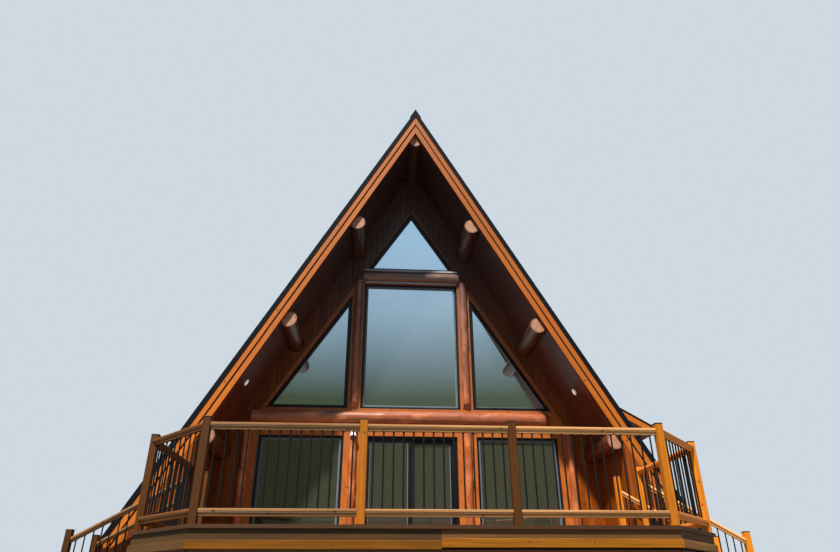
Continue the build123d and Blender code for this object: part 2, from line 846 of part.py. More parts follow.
# Windows of the back wall and the dormer
dormer_window_middle = floor_height + dormer_window_sill + dormer_window_height / 2
dormer_windows = [
    (dormer_room_middle - dormer_window_spacing / 2, dormer_window_middle),
    (dormer_room_middle + dormer_window_spacing / 2, dormer_window_middle),
]
side_frame_depth = dormer_wall_thickness - frame_setback
with BuildPart() as plain_window_frames:
    with BuildSketch(upright(rear_wall_face - frame_setback - frame_depth)):
        with Locations(*rear_windows):
            Rectangle(rear_window_width, rear_window_height)
        offset(amount=-frame_width, kind=Kind.INTERSECTION, mode=Mode.SUBTRACT)
    extrude(amount=-frame_depth)
    with BuildSketch(Plane.YZ.offset(dormer_opening_outer)):
        with Locations(*dormer_windows):
            Rectangle(dormer_window_width, dormer_window_height)
        offset(amount=-frame_width, kind=Kind.INTERSECTION, mode=Mode.SUBTRACT)
    extrude(amount=side_frame_depth)
plain_window_frames.part.label = "plain_window_frames"
export_step(plain_window_frames.part, "parts/plain_window_frames.step")

with BuildPart() as plain_window_glass:
    with BuildSketch(upright(rear_wall_face - glass_setback - glass_thickness)):
        with Locations(*rear_windows):
            Rectangle(rear_window_width - 2 * frame_width, rear_window_height - 2 * frame_width)
    extrude(amount=-glass_thickness)
    with BuildSketch(Plane.YZ.offset(dormer_opening_outer + (side_frame_depth - glass_thickness) / 2)):
        with Locations(*dormer_windows):
            Rectangle(dormer_window_width - 2 * frame_width, dormer_window_height - 2 * frame_width)
    extrude(amount=glass_thickness)
plain_window_glass.part.label = "plain_window_glass"
export_step(plain_window_glass.part, "parts/plain_window_glass.step")

# Shed dormer on the right slope: its walls stand on the roofing, under its own roof
dormer_under = dormer_roofing + dormer_slab
with BuildPart() as dormer_walls:
    with BuildSketch(upright(dormer_wall_start)):
        with BuildLine():
            Polyline(
                (dormer_wall_place, roof_z(dormer_wall_place, 0)),
                (dormer_wall_place, dormer_z(dormer_wall_place, dormer_under)),
                (dormer_meet(dormer_under), dormer_z(dormer_meet(dormer_under), dormer_under)),
                close=True,
            )
        make_face()
    extrude(amount=-(dormer_wall_end - dormer_wall_start))
    with BuildSketch():
        with Locations((dormer_opening_outer / 2, dormer_room_middle)):
            Rectangle(dormer_opening_outer, dormer_room_length)
    extrude(amount=roof_apex, mode=Mode.SUBTRACT)
    with BuildSketch(Plane.YZ.offset(dormer_opening_outer)):
        with Locations(*dormer_windows):
            Rectangle(dormer_window_width, dormer_window_height)
    extrude(amount=dormer_wall_thickness, mode=Mode.SUBTRACT)
dormer_walls.part.label = "dormer_walls"
export_step(dormer_walls.part, "parts/dormer_walls.step")

with BuildPart() as dormer_roof:
    with BuildSketch(upright(dormer_front)):
        with BuildLine():
            Polyline(
                (dormer_meet(dormer_roofing), dormer_z(dormer_meet(dormer_roofing), dormer_roofing)),
                (dormer_eave_place, dormer_z(dormer_eave_place, dormer_roofing)),
                (dormer_eave_place, dormer_z(dormer_eave_place, dormer_under)),
                (dormer_meet(dormer_under), dormer_z(dormer_meet(dormer_under), dormer_under)),
                close=True,
            )
        make_face()
    extrude(amount=-dormer_length)
dormer_roof.part.label = "dormer_roof"
export_step(dormer_roof.part, "parts/dormer_roof.step")

# Plan of the deck through the middles of its corner posts, with cut corners, and back to the roof
corner_plan = [
    (-front_half_width, guard_line),
    (front_half_width, guard_line),
    (deck_side, guard_line + corner_depth),
    (deck_side, barge_face),
    (-deck_side, barge_face),
    (-deck_side, guard_line + corner_depth),
]


def deck_plan(out):
    """Face of the deck's plan, a distance outside the line of the posts, cut straight at the roof."""
    with BuildSketch() as plan:
        with BuildLine():
            Polyline(*corner_plan, close=True)
        make_face()
        offset(amount=out, kind=Kind.INTERSECTION)
        with Locations((0, barge_face)):
            Rectangle(4 * deck_side, 2 * open_deck, align=(Align.CENTER, Align.MAX), mode=Mode.INTERSECT)
    return plan.sketch


def deck_edge(outside, thickness, back):
    """Ring of the deck's edge between two distances from the posts, as far back as a line."""
    with BuildSketch() as ring:
        add(deck_plan(outside))
        add(deck_plan(outside - thickness), mode=Mode.SUBTRACT)
        with Locations((0, back)):
            Rectangle(4 * deck_side, 2 * open_deck, align=(Align.CENTER, Align.MAX), mode=Mode.INTERSECT)
    return ring.sketch


def covered_plan(out, inset):
    """Face of the open deck's plan with the part under the roof, an inset in from the wings and the wall."""
    with BuildSketch() as plan:
        add(deck_plan(out))
        with Locations((0, barge_face + inset)):
            Rectangle(2 * (wing_inset - inset), front_overhang - 2 * inset, align=(Align.CENTER, Align.MIN))
    return plan.sketch


# Deck floor, on to the front wall under the roof
with BuildPart() as deck_floor:
    with BuildSketch(Plane.XY.offset(deck_level - deck_board)):
        add(covered_plan(edge_out, 0))
    extrude(amount=deck_board)
deck_floor.part.label = "deck_floor"
export_step(deck_floor.part, "parts/deck_floor.step")

# Joists under the deck floor, in a rim of the same width
joist_front = guard_line - fascia_out + fascia_thickness
joist_bays = ceil((front_wall_face - joist_front) / joist_spacing)
with BuildSketch() as joist_pockets:
    with Locations((0, joist_front + joist_bays * joist_spacing / 2)):
        with GridLocations(0, joist_spacing, 1, joist_bays):
            Rectangle(4 * deck_side, joist_spacing - joist_width)
    add(covered_plan(fascia_out - fascia_thickness - joist_width, joist_width), mode=Mode.INTERSECT)
with BuildPart() as deck_joists:
    with BuildSketch(Plane.XY.offset(frame_bottom)):
        add(covered_plan(fascia_out - fascia_thickness, 0))
        add(joist_pockets.sketch, mode=Mode.SUBTRACT)
    extrude(amount=frame_height)
deck_joists.part.label = "deck_joists"
export_step(deck_joists.part, "parts/deck_joists.step")

# Fascia under the nosing, and the board that stands proud below it
with BuildPart() as deck_fascia:
    with BuildSketch(Plane.XY.offset(fascia_bottom)):
        add(deck_edge(fascia_out, fascia_thickness, barge_face))
    extrude(amount=fascia_height)
deck_fascia.part.label = "deck_fascia"
export_step(deck_fascia.part, "parts/deck_fascia.step")

with BuildPart() as deck_beam:
    with BuildSketch(Plane.XY.offset(beam_bottom)):
        add(deck_edge(fascia_out + beam_proud, fascia_thickness + beam_proud, stair_front - post_size / 2))
    extrude(amount=beam_height)
deck_beam.part.label = "deck_beam"
export_step(deck_beam.part, "parts/deck_beam.step")

# Piers that carry the joists
pier_places = [
    (x, y)
    for y in (joist_front + 2 * joist_spacing, joist_front + 6 * joist_spacing)
    for x in (-deck_side + pier_size, -inner_post_place, inner_post_place, deck_side - pier_size)
]
with BuildPart() as deck_piers:
    with BuildSketch():
        with Locations(*pier_places):
            Rectangle(pier_size, pier_size)
    extrude(amount=frame_bottom)
deck_piers.part.label = "deck_piers"
export_step(deck_piers.part, "parts/deck_piers.step")


def lattice_sheet(width, height):
    """Framed sheet of crossed laths, centred on its middle."""
    step = lath_spacing * 2**0.5
    hole = lath_spacing - lath_width
    columns = ceil(width / step) + 2
    rows = ceil(height / step) + 2
    with BuildSketch() as holes:
        with GridLocations(step, step, columns, rows):
            Rectangle(hole, hole, rotation=45)
        with Locations((step / 2, step / 2)):
            with GridLocations(step, step, columns, rows):
                Rectangle(hole, hole, rotation=45)
        Rectangle(width - 2 * lattice_frame, height - 2 * lattice_frame, mode=Mode.INTERSECT)
    with BuildSketch() as sheet:
        Rectangle(width, height)
        add(holes.sketch, mode=Mode.SUBTRACT)
    return sheet.sketch


def lattice_plane(start, end):
    """Plane of a lattice sheet that closes the deck under the beam, from one plan point to another."""
    angle = atan2(end[1] - start[1], end[0] - start[0])
    middle = ((start[0] + end[0]) / 2, (start[1] + end[1]) / 2, beam_bottom / 2)
    along = (cos(angle), sin(angle), 0)
    outward = (sin(angle), -cos(angle), 0)
    return Plane(origin=middle, x_dir=along, z_dir=outward).offset(fascia_out - fascia_thickness)


lattice_gap = 2.0
corner_length = hypot(corner_width, corner_depth)
right_front_corner = (front_half_width, guard_line)
right_side_corner = (deck_side, guard_line + corner_depth)
with BuildPart() as lattice_front:
    with BuildSketch(lattice_plane((-front_half_width, guard_line), right_front_corner)):
        add(lattice_sheet(2 * front_half_width, beam_bottom))
    extrude(amount=lattice_thickness)
lattice_front.part.label = "lattice_front"
export_step(lattice_front.part, "parts/lattice_front.step")

with BuildPart() as lattice_corners:
    with BuildSketch(lattice_plane(right_front_corner, right_side_corner)):
        add(lattice_sheet(corner_length - 2 * lattice_gap, beam_bottom))
    extrude(amount=lattice_thickness)
    mirror(about=Plane.YZ)
lattice_corners.part.label = "lattice_corners"
export_step(lattice_corners.part, "parts/lattice_corners.step")

side_lattice_end = (deck_side, stair_front - post_size / 2)
with BuildPart() as lattice_sides:
    with BuildSketch(lattice_plane(right_side_corner, side_lattice_end)):
        add(lattice_sheet(side_lattice_end[1] - right_side_corner[1], beam_bottom))
    extrude(amount=lattice_thickness)
    mirror(about=Plane.YZ)
lattice_sides.part.label = "lattice_sides"
export_step(lattice_sides.part, "parts/lattice_sides.step")

# Guard posts on the deck and newels at the foot of the stairs, with thin flat caps
deck_posts = [
    (x * side, y)
    for side in (-1, 1)
    for x, y in (
        (inner_post_place, guard_line),
        right_front_corner,
        right_side_corner,
        (deck_side, stair_front),
        (deck_side, stair_back),
    )
]
newels = [(newel_place * side, y) for side in (-1, 1) for y in (stair_front, stair_back)]


def nosing_line(x):
    """Height of the line over the stair nosings at a half width."""
    return deck_level - (x - stair_start) * riser / going


newel_top = nosing_line(newel_place) + stair_rail_height + newel_rise
with BuildPart() as guard_posts:
    with BuildSketch(Plane.XY.offset(deck_level)):
        with Locations(*deck_posts):
            Rectangle(post_size, post_size)
    extrude(amount=post_height)
    with BuildSketch():
        with Locations(*newels):
            Rectangle(post_size, post_size)
    extrude(amount=newel_top)
guard_posts.part.label = "guard_posts"
export_step(guard_posts.part, "parts/guard_posts.step")

with BuildPart() as post_caps:
    with BuildSketch(Plane.XY.offset(deck_level + post_height)):
        with Locations(*deck_posts):
            Rectangle(post_cap_size, post_cap_size)
    extrude(amount=post_cap_thickness)
    with BuildSketch(Plane.XY.offset(newel_top)):
        with Locations(*newels):
            Rectangle(post_cap_size, post_cap_size)
    extrude(amount=post_cap_thickness)
post_caps.part.label = "post_caps"
export_step(post_caps.part, "parts/post_caps.step")


def rail_section():
    """Section of the top and bottom rail, each a wide cap on a narrower web."""
    web_height = rail_height - rail_cap_height
    with BuildSketch() as section:
        with Locations((0, rail_top - rail_height), (0, low_rail_bottom)):
            Rectangle(rail_web_width, web_height, align=(Align.CENTER, Align.MIN))
        with Locations((0, rail_top - rail_cap_height), (0, low_rail_bottom + web_height)):
            Rectangle(rail_cap_width, rail_cap_height, align=(Align.CENTER, Align.MIN))
    return section.sketch


def rail_plane(start, end):
    """Plane across a rail at its start, looking along to its end, with its origin on the deck."""
    along = (end[0] - start[0], end[1] - start[1], 0)
    return Plane(origin=(start[0], start[1], deck_level), x_dir=(-along[1], along[0], 0), z_dir=along)


def distance(start, end):
    """Length between two plan points."""
    return hypot(end[0] - start[0], end[1] - start[1])


# Rails between the posts: the front, the cut corners and the sides
front_line = [-front_half_width, -inner_post_place, inner_post_place, front_half_width]
with BuildPart() as front_rails:
    with BuildSketch(rail_plane((-front_half_width, guard_line), right_front_corner)):
        add(rail_section())
    extrude(amount=2 * front_half_width)
    add(guard_posts.part, mode=Mode.SUBTRACT)
front_rails.part.label = "front_rails"
export_step(front_rails.part, "parts/front_rails.step")

with BuildPart() as corner_rails:
    with BuildSketch(rail_plane(right_front_corner, right_side_corner)):
        add(rail_section())
    extrude(amount=corner_length)
    mirror(about=Plane.YZ)
    add(guard_posts.part, mode=Mode.SUBTRACT)
corner_rails.part.label = "corner_rails"
export_step(corner_rails.part, "parts/corner_rails.step")

with BuildPart() as side_rails:
    with BuildSketch(rail_plane(right_side_corner, (deck_side, stair_front))):
        add(rail_section())
    extrude(amount=stair_front - right_side_corner[1])
    mirror(about=Plane.YZ)
    add(guard_posts.part, mode=Mode.SUBTRACT)
side_rails.part.label = "side_rails"
export_step(side_rails.part, "parts/side_rails.step")


def stair_outline(low, high):
    """Outline of a band along the stair between the post and the newel, at heights over the nosings."""
    top_end = deck_side + post_size / 2
    low_end = newel_place - post_size / 2
    return [
        (top_end, nosing_line(top_end) + low),
        (low_end, nosing_line(low_end) + low),
        (low_end, nosing_line(low_end) + high),
        (top_end, nosing_line(top_end) + high),
    ]


cap_low = stair_rail_height - rail_cap_height
stair_web_low = stair_rail_height - rail_height
stair_low_top = stair_low_rail + rail_height
stair_low_cap = stair_low_top - rail_cap_height
with BuildPart() as stair_front_rails:
    with BuildSketch(upright(stair_front - rail_cap_width / 2)):
        with BuildLine():
            Polyline(*stair_outline(cap_low, stair_rail_height), close=True)
        make_face()
        with BuildLine():
            Polyline(*stair_outline(stair_low_cap, stair_low_top), close=True)
        make_face()
    extrude(amount=-rail_cap_width)
    with BuildSketch(upright(stair_front - rail_web_width / 2)):
        with BuildLine():
            Polyline(*stair_outline(stair_web_low, cap_low), close=True)
        make_face()
        with BuildLine():
            Polyline(*stair_outline(stair_low_rail, stair_low_cap), close=True)
        make_face()
    extrude(amount=-rail_web_width)
    mirror(about=Plane.YZ)
stair_front_rails.part.label = "stair_front_rails"
export_step(stair_front_rails.part, "parts/stair_front_rails.step")

with BuildPart() as stair_back_rails:
    with Locations((0, stair_width, 0)):
        add(stair_front_rails.part)
stair_back_rails.part.label = "stair_back_rails"
export_step(stair_back_rails.part, "parts/stair_back_rails.step")


def baluster_points(start, end):
    """Plan points of the balusters, evenly spaced between two posts."""
    count = ceil(distance(start, end) / baluster_gap) - 1
    step = 1 / (count + 1)
    return [
        (start[0] + (end[0] - start[0]) * step * (i + 1), start[1] + (end[1] - start[1]) * step * (i + 1))
        for i in range(count)
    ]


guard_points = []
for left, right in zip(front_line, front_line[1:]):
    guard_points += baluster_points((left, guard_line), (right, guard_line))
for side in (-1, 1):
    front_corner = (side * front_half_width, guard_line)
    side_corner = (side * deck_side, right_side_corner[1])
    guard_points += baluster_points(front_corner, side_corner)
    guard_points += baluster_points(side_corner, (side * deck_side, stair_front))
with BuildPart() as balusters:
    with BuildSketch(Plane.XY.offset(deck_level + low_rail_bottom + rail_height)):
        with Locations(*guard_points):
            RegularPolygon(baluster_diameter / 2, baluster_sides)
    extrude(amount=rail_top - low_rail_bottom - 2 * rail_height)
balusters.part.label = "balusters"
export_step(balusters.part, "parts/balusters.step")

stair_points = []
for y in (stair_front, stair_back):
    stair_points += baluster_points((deck_side, y), (newel_place, y))
with BuildPart() as stair_balusters:
    with BuildSketch():
        with Locations(*stair_points):
            RegularPolygon(baluster_diameter / 2, baluster_sides)
    extrude(amount=2 * deck_level)
    with BuildSketch(upright(stair_front - post_size)):
        with BuildLine():
            Polyline(*stair_outline(stair_low_top, stair_web_low), close=True)
        make_face()
    extrude(amount=-(stair_width + 2 * post_size), mode=Mode.INTERSECT)
    mirror(about=Plane.YZ)
stair_balusters.part.label = "stair_balusters"
export_step(stair_balusters.part, "parts/stair_balusters.step")

# Stair stringers inside the newels, and the treads between them
stringer_front = stair_front + post_size / 2
stringer_back = stair_back - post_size / 2
deck_underside = deck_level - deck_board
with BuildPart() as stair_stringers:
    fall = riser / going
    with BuildSketch(upright(stringer_front)):
        with BuildLine():
            Polyline(
                (stair_start, deck_underside),
                (stair_start + deck_board / fall, deck_underside),
                (stair_end, riser),
                (stair_end, 0),
                (stair_start + (deck_level - stringer_depth) / fall, 0),
                (stair_start, deck_level - stringer_depth),
                close=True,
            )
        make_face()
    extrude(amount=-stringer_thickness)
    with Locations((0, stringer_back - stringer_front - stringer_thickness, 0)):
        add(stair_stringers.part)
    mirror(about=Plane.YZ)
stair_stringers.part.label = "stair_stringers"
export_step(stair_stringers.part, "parts/stair_stringers.step")

tread_width = stringer_back - stringer_front - 2 * stringer_thickness
with BuildPart() as stair_treads:
    for step in range(1, riser_count):
        with BuildSketch(Plane.XY.offset(deck_level - step * riser - tread_thickness)):
            with Locations((stair_start + (step - 0.5) * going, (stringer_front + stringer_back) / 2)):
                Rectangle(going, tread_width)
        extrude(amount=tread_thickness)
    mirror(about=Plane.YZ)
stair_treads.part.label = "stair_treads"
export_step(stair_treads.part, "parts/stair_treads.step")
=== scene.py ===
"""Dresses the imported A-frame cabin: stained timber, logs, glazing, roofing, deck, guard and stairs."""
import logging
import math
import random
from collections.abc import Callable
from dataclasses import dataclass
from enum import Enum

import bmesh
import bpy
from mathutils import Matrix, Vector


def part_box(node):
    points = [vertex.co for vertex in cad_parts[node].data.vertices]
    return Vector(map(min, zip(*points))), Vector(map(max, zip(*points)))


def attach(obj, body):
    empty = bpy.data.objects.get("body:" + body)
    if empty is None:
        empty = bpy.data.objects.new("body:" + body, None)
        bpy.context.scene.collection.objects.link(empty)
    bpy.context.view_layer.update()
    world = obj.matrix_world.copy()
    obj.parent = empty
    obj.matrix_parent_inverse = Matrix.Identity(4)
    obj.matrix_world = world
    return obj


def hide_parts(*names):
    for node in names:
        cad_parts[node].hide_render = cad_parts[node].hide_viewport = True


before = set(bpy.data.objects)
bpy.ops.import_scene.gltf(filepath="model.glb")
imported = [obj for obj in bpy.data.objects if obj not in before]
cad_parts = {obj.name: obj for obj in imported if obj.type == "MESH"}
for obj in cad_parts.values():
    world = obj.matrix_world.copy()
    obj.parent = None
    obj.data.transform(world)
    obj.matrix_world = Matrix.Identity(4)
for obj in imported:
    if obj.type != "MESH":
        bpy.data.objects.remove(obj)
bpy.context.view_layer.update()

log = logging.getLogger("cabin")

Colour = tuple[float, float, float]
Solid = bmesh.types.BMesh
Material = bpy.types.Material
# Painted light and shade: tone of a member by where it stands, lighter where light falls and darker in shade.
PaintedLightTone = Callable[[Vector], float]
Plane = tuple[Vector, Vector]
Points = list[bmesh.types.BMVert]
Pairs = tuple[tuple[float, float], ...]

RIGHT, BACK, UP = Vector((1, 0, 0)), Vector((0, 1, 0)), Vector((0, 0, 1))
BOARD = 0.13
DECK_BOARD = 0.145
NEAR = 1e-4
MERGED = 1e-5
ON_PLANE = 1e-6
LEANING = 0.3
FLAT = math.radians(0.5)
SHARP = math.radians(35)
CREASE = math.radians(40)
FULL_TURN = 2 * math.pi


def paint(red: int, green: int, blue: int) -> Colour:
    """A colour as it shows on a display, turned linear."""
    return tuple(((part / 255 + 0.055) / 1.055) ** 2.4 for part in (red, green, blue))


class Body(Enum):
    """The bodies that pieces ride on."""

    CABIN = "cabin"
    DOOR = "sliding_door"


def operation(name: str, swapped: bool = False) -> "Callable[[Wire, Wire | float], Wire]":
    """Makes a method that adds one Math node.

    Args:
        name: the node's operation.
        swapped: whether the other value comes first, as in a reflected operator.

    Returns:
        The method, which gives the node's output.
    """
    def method(self: "Wire", other: "Wire | float" = 0.0) -> "Wire":
        """Works out one value from this one and, where the operation takes two, another."""
        first, second = (other, self) if swapped else (self, other)
        return self.net.add("ShaderNodeMath", {"operation": name}, {0: first, 1: second})[0]
    return method


class Wire:
    """An output socket; each operator on it adds the Math node that works out the result."""

    def __init__(self, net: "Net", socket: bpy.types.NodeSocket) -> None:
        """Args:
            net: the tree that holds the socket.
            socket: the output to read.
        """
        self.net = net
        self.socket = socket

    __add__ = operation("ADD")
    __radd__ = operation("ADD", swapped=True)
    __sub__ = operation("SUBTRACT")
    __rsub__ = operation("SUBTRACT", swapped=True)
    __mul__ = operation("MULTIPLY")
    __rmul__ = operation("MULTIPLY", swapped=True)
    __truediv__ = operation("DIVIDE")
    __pow__ = operation("POWER")
    maximum = operation("MAXIMUM")
    minimum = operation("MINIMUM")
    over = operation("GREATER_THAN")
    floor = operation("FLOOR")
    sine = operation("SINE")

    def clamp(self) -> "Wire":
        """The value kept between 0 and 1."""
        return self.maximum(0.0).minimum(1.0)


class Made:
    """A node that has been added, read by the name or number of its outputs."""

    def __init__(self, net: "Net", node: bpy.types.Node) -> None:
        """Args:
            net: the tree that holds the node.
            node: the node itself.
        """
        self.net = net
        self.node = node

    def __getitem__(self, name: "str | int") -> Wire:
        """The output of that name or number."""
        return Wire(self.net, self.node.outputs[name])


class Net:
    """A node tree that is filled through one method."""

    def __init__(self, tree: bpy.types.NodeTree) -> None:
        """Args:
            tree: the empty tree to fill.
        """
        self.tree = tree

    def add(self, kind: str, settings: "dict | None" = None, values: "dict | None" = None) -> Made:
        """Adds any node.

        Args:
            kind: the node's type.
            settings: its properties, set first; stops is a list of places and colours for a ramp.
            values: numbers or wires for its inputs, by name or number; a list joins several wires.

        Returns:
            The node, whose outputs are read by name or number.
        """
        node = self.tree.nodes.new(kind)
        for name, setting in (settings or {}).items():
            if name == "stops":
                while len(node.color_ramp.elements) < len(setting):
                    node.color_ramp.elements.new(0.5)
                for element, (place, colour) in zip(node.color_ramp.elements, setting):
                    element.position = place
                    element.color = (*colour, 1.0)
            else:
                setattr(node, name, setting)
        for name, value in (values or {}).items():
            for part in value if isinstance(value, list) else [value]:
                if isinstance(part, Wire):
                    self.tree.links.new(part.socket, node.inputs[name])
                else:
                    node.inputs[name].default_value = part
        return Made(self, node)

    def vector(self, x: "Wire | float", y: "Wire | float", z: "Wire | float") -> Wire:
        """A vector of three values."""
        return self.add("ShaderNodeCombineXYZ", None, {0: x, 1: y, 2: z})[0]

    def noise(self, place: Wire, scale: float, detail: float = 3.0) -> Wire:
        """Soft noise between 0 and 1."""
        return self.add("ShaderNodeTexNoise", None, {"Vector": place, "Scale": scale, "Detail": detail})[0]

    def chance(self, value: Wire) -> Wire:
        """A random number between 0 and 1 for each different value."""
        return self.add("ShaderNodeTexWhiteNoise", {"noise_dimensions": "1D"}, {"W": value})["Value"]

    def spots(self, place: Wire, scale: float, inner: float, outer: float) -> Wire:
        """Round spots scattered through space, 1 in their middle and 0 outside."""
        near = self.add("ShaderNodeTexVoronoi", None, {"Vector": place, "Scale": scale})["Distance"]
        return ((outer - near) / (outer - inner)).clamp()

    def blend(self, share: "Wire | float", first: "Wire | Colour", second: "Wire | Colour",
              way: str = "MIX") -> Wire:
        """Mixes two colours.

        Args:
            share: how much of the second colour shows.
            first: the first colour.
            second: the second colour.
            way: how they mix, such as MIX or MULTIPLY.

        Returns:
            The colour.
        """
        colours = [part if isinstance(part, Wire) else (*part, 1.0) for part in (first, second)]
        settings = {"data_type": "RGBA", "blend_type": way}
        return self.add("ShaderNodeMix", settings, {0: share, 6: colours[0], 7: colours[1]})[2]


class Surface(Net):
    """The node tree of one material, closed by a Principled shader."""

    def __init__(self, name: str) -> None:
        """Args:
            name: the material's name.
        """
        self.material = bpy.data.materials.new(name)
        self.material.use_nodes = True
        super().__init__(self.material.node_tree)
        self.tree.nodes.clear()

    def grain(self) -> tuple[Wire, Wire, Wire, Wire]:
        """The piece's own grain.

        Returns:
            Distance along the grain, two distances across it, and the member's tone.
        """
        place = self.add("ShaderNodeAttribute", {"attribute_name": "grain"})["Vector"]
        parts = self.add("ShaderNodeSeparateXYZ", None, {0: place})
        tone = self.add("ShaderNodeAttribute", {"attribute_name": "tone"})["Fac"]
        return parts[0], parts[1], parts[2], tone

    def place(self) -> Wire:
        """Object coordinates."""
        return self.add("ShaderNodeTexCoord")["Object"]

    def height(self) -> Wire:
        """Height over the ground."""
        return self.add("ShaderNodeSeparateXYZ", None, {0: self.place()})[2]

    def close(self, values: dict, relief: "Wire | None" = None, depth: float = 0.002,
              strength: float = 0.5) -> Material:
        """Adds the shader and the output.

        Args:
            values: numbers or wires for the Principled shader's inputs.
            relief: heights from 0 to 1 for the bump, where there is one.
            depth: depth of the bump in metres.
            strength: strength of the bump.

        Returns:
            The finished material.
        """
        if relief is not None:
            bump = {"Strength": strength, "Distance": depth, "Height": relief}
            values = {**values, "Normal": self.add("ShaderNodeBump", None, bump)["Normal"]}
        shader = self.add("ShaderNodeBsdfPrincipled", None, values)
        self.add("ShaderNodeOutputMaterial", None, {"Surface": shader[0]})
        return self.material


@dataclass(frozen=True)
class Wood:
    """Stained timber with streaks, growth rings and knots that follow each member's own grain, and painted
    shade upwards.
    """

    name: str
    dark: Colour
    light: Colour
    knot: Colour = (0.06, 0.02, 0.008)
    roughness: float = 0.42
    board: float = 0.0
    knots: float = 7.0
    ring: float = 0.012
    blotch: Colour = (0.0, 0.0, 0.0)
    blotches: float = 0.0
    grey: float = 0.0
    worn: Colour = (0.1, 0.072, 0.048)
    # Painted shade: how much the wood darkens upwards, towards which colour, from what height and over what
    # rise.
    painted_shade: float = 0.0
    painted_shade_colour: Colour = (0.06, 0.042, 0.038)
    painted_shade_from: float = 2.6
    painted_shade_over: float = 4.2
    span: float = 0.5
    gloss: float = 0.25
    coat: float = 0.06
    apart: float = 37.0
    streaks: float = 34.0
    bands: float = 7.0
    stretch: tuple[float, float] = (1.3, 0.8)
    heart: tuple[float, float] = (0.12, 0.07)
    relief: float = 0.0015

    def material(self) -> Material:
        """Builds the material, with painted shade that darkens it upwards.

        Returns:
            The material.
        """
        net = Surface(self.name)
        along, side, up, tone = net.grain()
        if self.board:
            number = (side / self.board).floor()
            tone = net.chance(number + tone * 50.0)
            side = side - (number + 0.5) * self.board
        shift = tone * self.apart
        wander = net.noise(net.vector(along * 0.9 + shift, side * 3.0, up * 3.0), 1.0, 2.0) - 0.5
        bent = side * self.streaks + wander * 3.0
        fine = net.vector(along * self.stretch[0] + shift, bent, up * self.streaks)
        streak = net.noise(fine, 1.0, 5.0)
        wide = net.vector(along * self.stretch[1] - shift, side * self.bands, up * self.bands)
        broad = net.noise(wide, 1.0, 2.0)
        off_side = side + (tone - 0.5) * self.heart[0] + wander * 0.05
        off_up = up + self.heart[1] + wander * 0.03
        radius = (off_side * off_side + off_up * off_up) ** 0.5
        rings = (radius * (FULL_TURN / self.ring)).sine() * 0.5 + 0.5
        pattern = streak * 0.9 + broad * 0.5 + rings * 0.16 - 0.32
        colour = net.blend(pattern.clamp(), self.dark, self.light)
        if self.blotches:
            patch = net.noise(net.vector(along * 2.2 + shift, side * 5.0, up * 5.0), 1.0, 3.0)
            colour = net.blend(((patch - 0.5) * 5.0).clamp() * self.blotches, colour, self.blotch)
        mark = net.spots(net.vector(along + shift, side, up), self.knots, 0.05, 0.15)
        colour = net.blend(mark * 0.85, colour, self.knot)
        # Member tone: random, and painted light and shade where a place sets it.
        shade = 1.0 - self.span * 0.5 + tone * self.span
        colour = net.blend(1.0, colour, net.vector(shade, shade, shade), "MULTIPLY")
        # Painted shade: the wood darker upwards under the roof.
        if self.painted_shade:
            rise = ((net.height() - self.painted_shade_from) / self.painted_shade_over).clamp()
            colour = net.blend((rise * self.painted_shade + streak * 0.3 - 0.15).clamp(), colour, self.painted_shade_colour)
        if self.grey:
            wear = net.noise(net.vector(along * 0.6 + shift, side * 9.0, up * 9.0), 1.0, 4.0)
            colour = net.blend((wear * self.grey).clamp(), colour, self.worn)
        rough = self.roughness + streak * 0.16 - 0.06 + mark * 0.1
        values = {"Base Color": colour, "Roughness": rough, "Specular IOR Level": self.gloss,
                  "Coat Weight": self.coat, "Coat Roughness": 0.25}
        return net.close(values, streak * 0.6 + rings * 0.2 - mark * 0.4, self.relief, 0.45)


@dataclass(frozen=True)
class LogEnd:
    """The sawn end of a log, with rings round the pith and drying cracks."""

    name: str = "log_end"
    pale: Colour = paint(160, 117, 88)
    ring: Colour = paint(132, 82, 52)
    bark: Colour = paint(96, 48, 26)
    split: Colour = (0.07, 0.03, 0.015)
    ring_step: float = 0.011
    heart: float = 0.05
    edge: float = 0.132

    def material(self) -> Material:
        """Builds the material.

        Returns:
            The material.
        """
        net = Surface(self.name)
        along, side, up, tone = net.grain()
        wobble = net.noise(net.vector(side * 9.0 + along, up * 9.0, tone * 9.0), 1.0, 2.0)
        radius = ((side * side + up * up) ** 0.5) + wobble * 0.012
        rings = (radius * (FULL_TURN / self.ring_step)).sine() * 0.5 + 0.5
        blot = net.noise(net.vector(side * 14.0, up * 14.0, along), 1.0, 4.0)
        colour = net.blend((rings * 0.45 + blot * 0.35).clamp(), self.pale, self.ring)
        heart = ((self.heart - radius) / self.heart).clamp()
        colour = net.blend(heart * 0.6, colour, self.ring)
        turn = net.add("ShaderNodeMath", {"operation": "ARCTAN2"}, {0: up, 1: side})[0]
        crack = ((turn * 5.0 + wobble * 5.0).sine() - 0.975).over(0.0) * (radius - 0.02).over(0.0)
        colour = net.blend(crack * 0.8, colour, self.split)
        rim = ((radius - self.edge) / 0.01).clamp()
        colour = net.blend(rim * 0.7, colour, self.bark)
        return net.close({"Base Color": colour, "Roughness": 0.62 + blot * 0.15}, rings * 0.3 - crack)


@dataclass(frozen=True)
class Coated:
    """Painted or powder coated metal, with a faint unevenness and a little dust."""

    name: str
    colour: Colour
    roughness: float = 0.4
    metallic: float = 0.0
    speckle: float = 40.0
    gloss: float = 0.5

    def material(self) -> Material:
        """Builds the material.

        Returns:
            The material.
        """
        net = Surface(self.name)
        place = net.place()
        cloud = net.noise(place, 3.0, 4.0)
        fine = net.noise(place, self.speckle, 3.0)
        light = tuple(min(1.0, part * 1.7 + 0.003) for part in self.colour)
        colour = net.blend((cloud * 0.9 + fine * 0.3 - 0.25).clamp(), self.colour, light)
        rough = self.roughness + cloud * 0.14 + fine * 0.06 - 0.08
        values = {"Base Color": colour, "Roughness": rough, "Metallic": self.metallic,
                  "Specular IOR Level": self.gloss}
        return net.close(values, fine, 0.0004, 0.3)


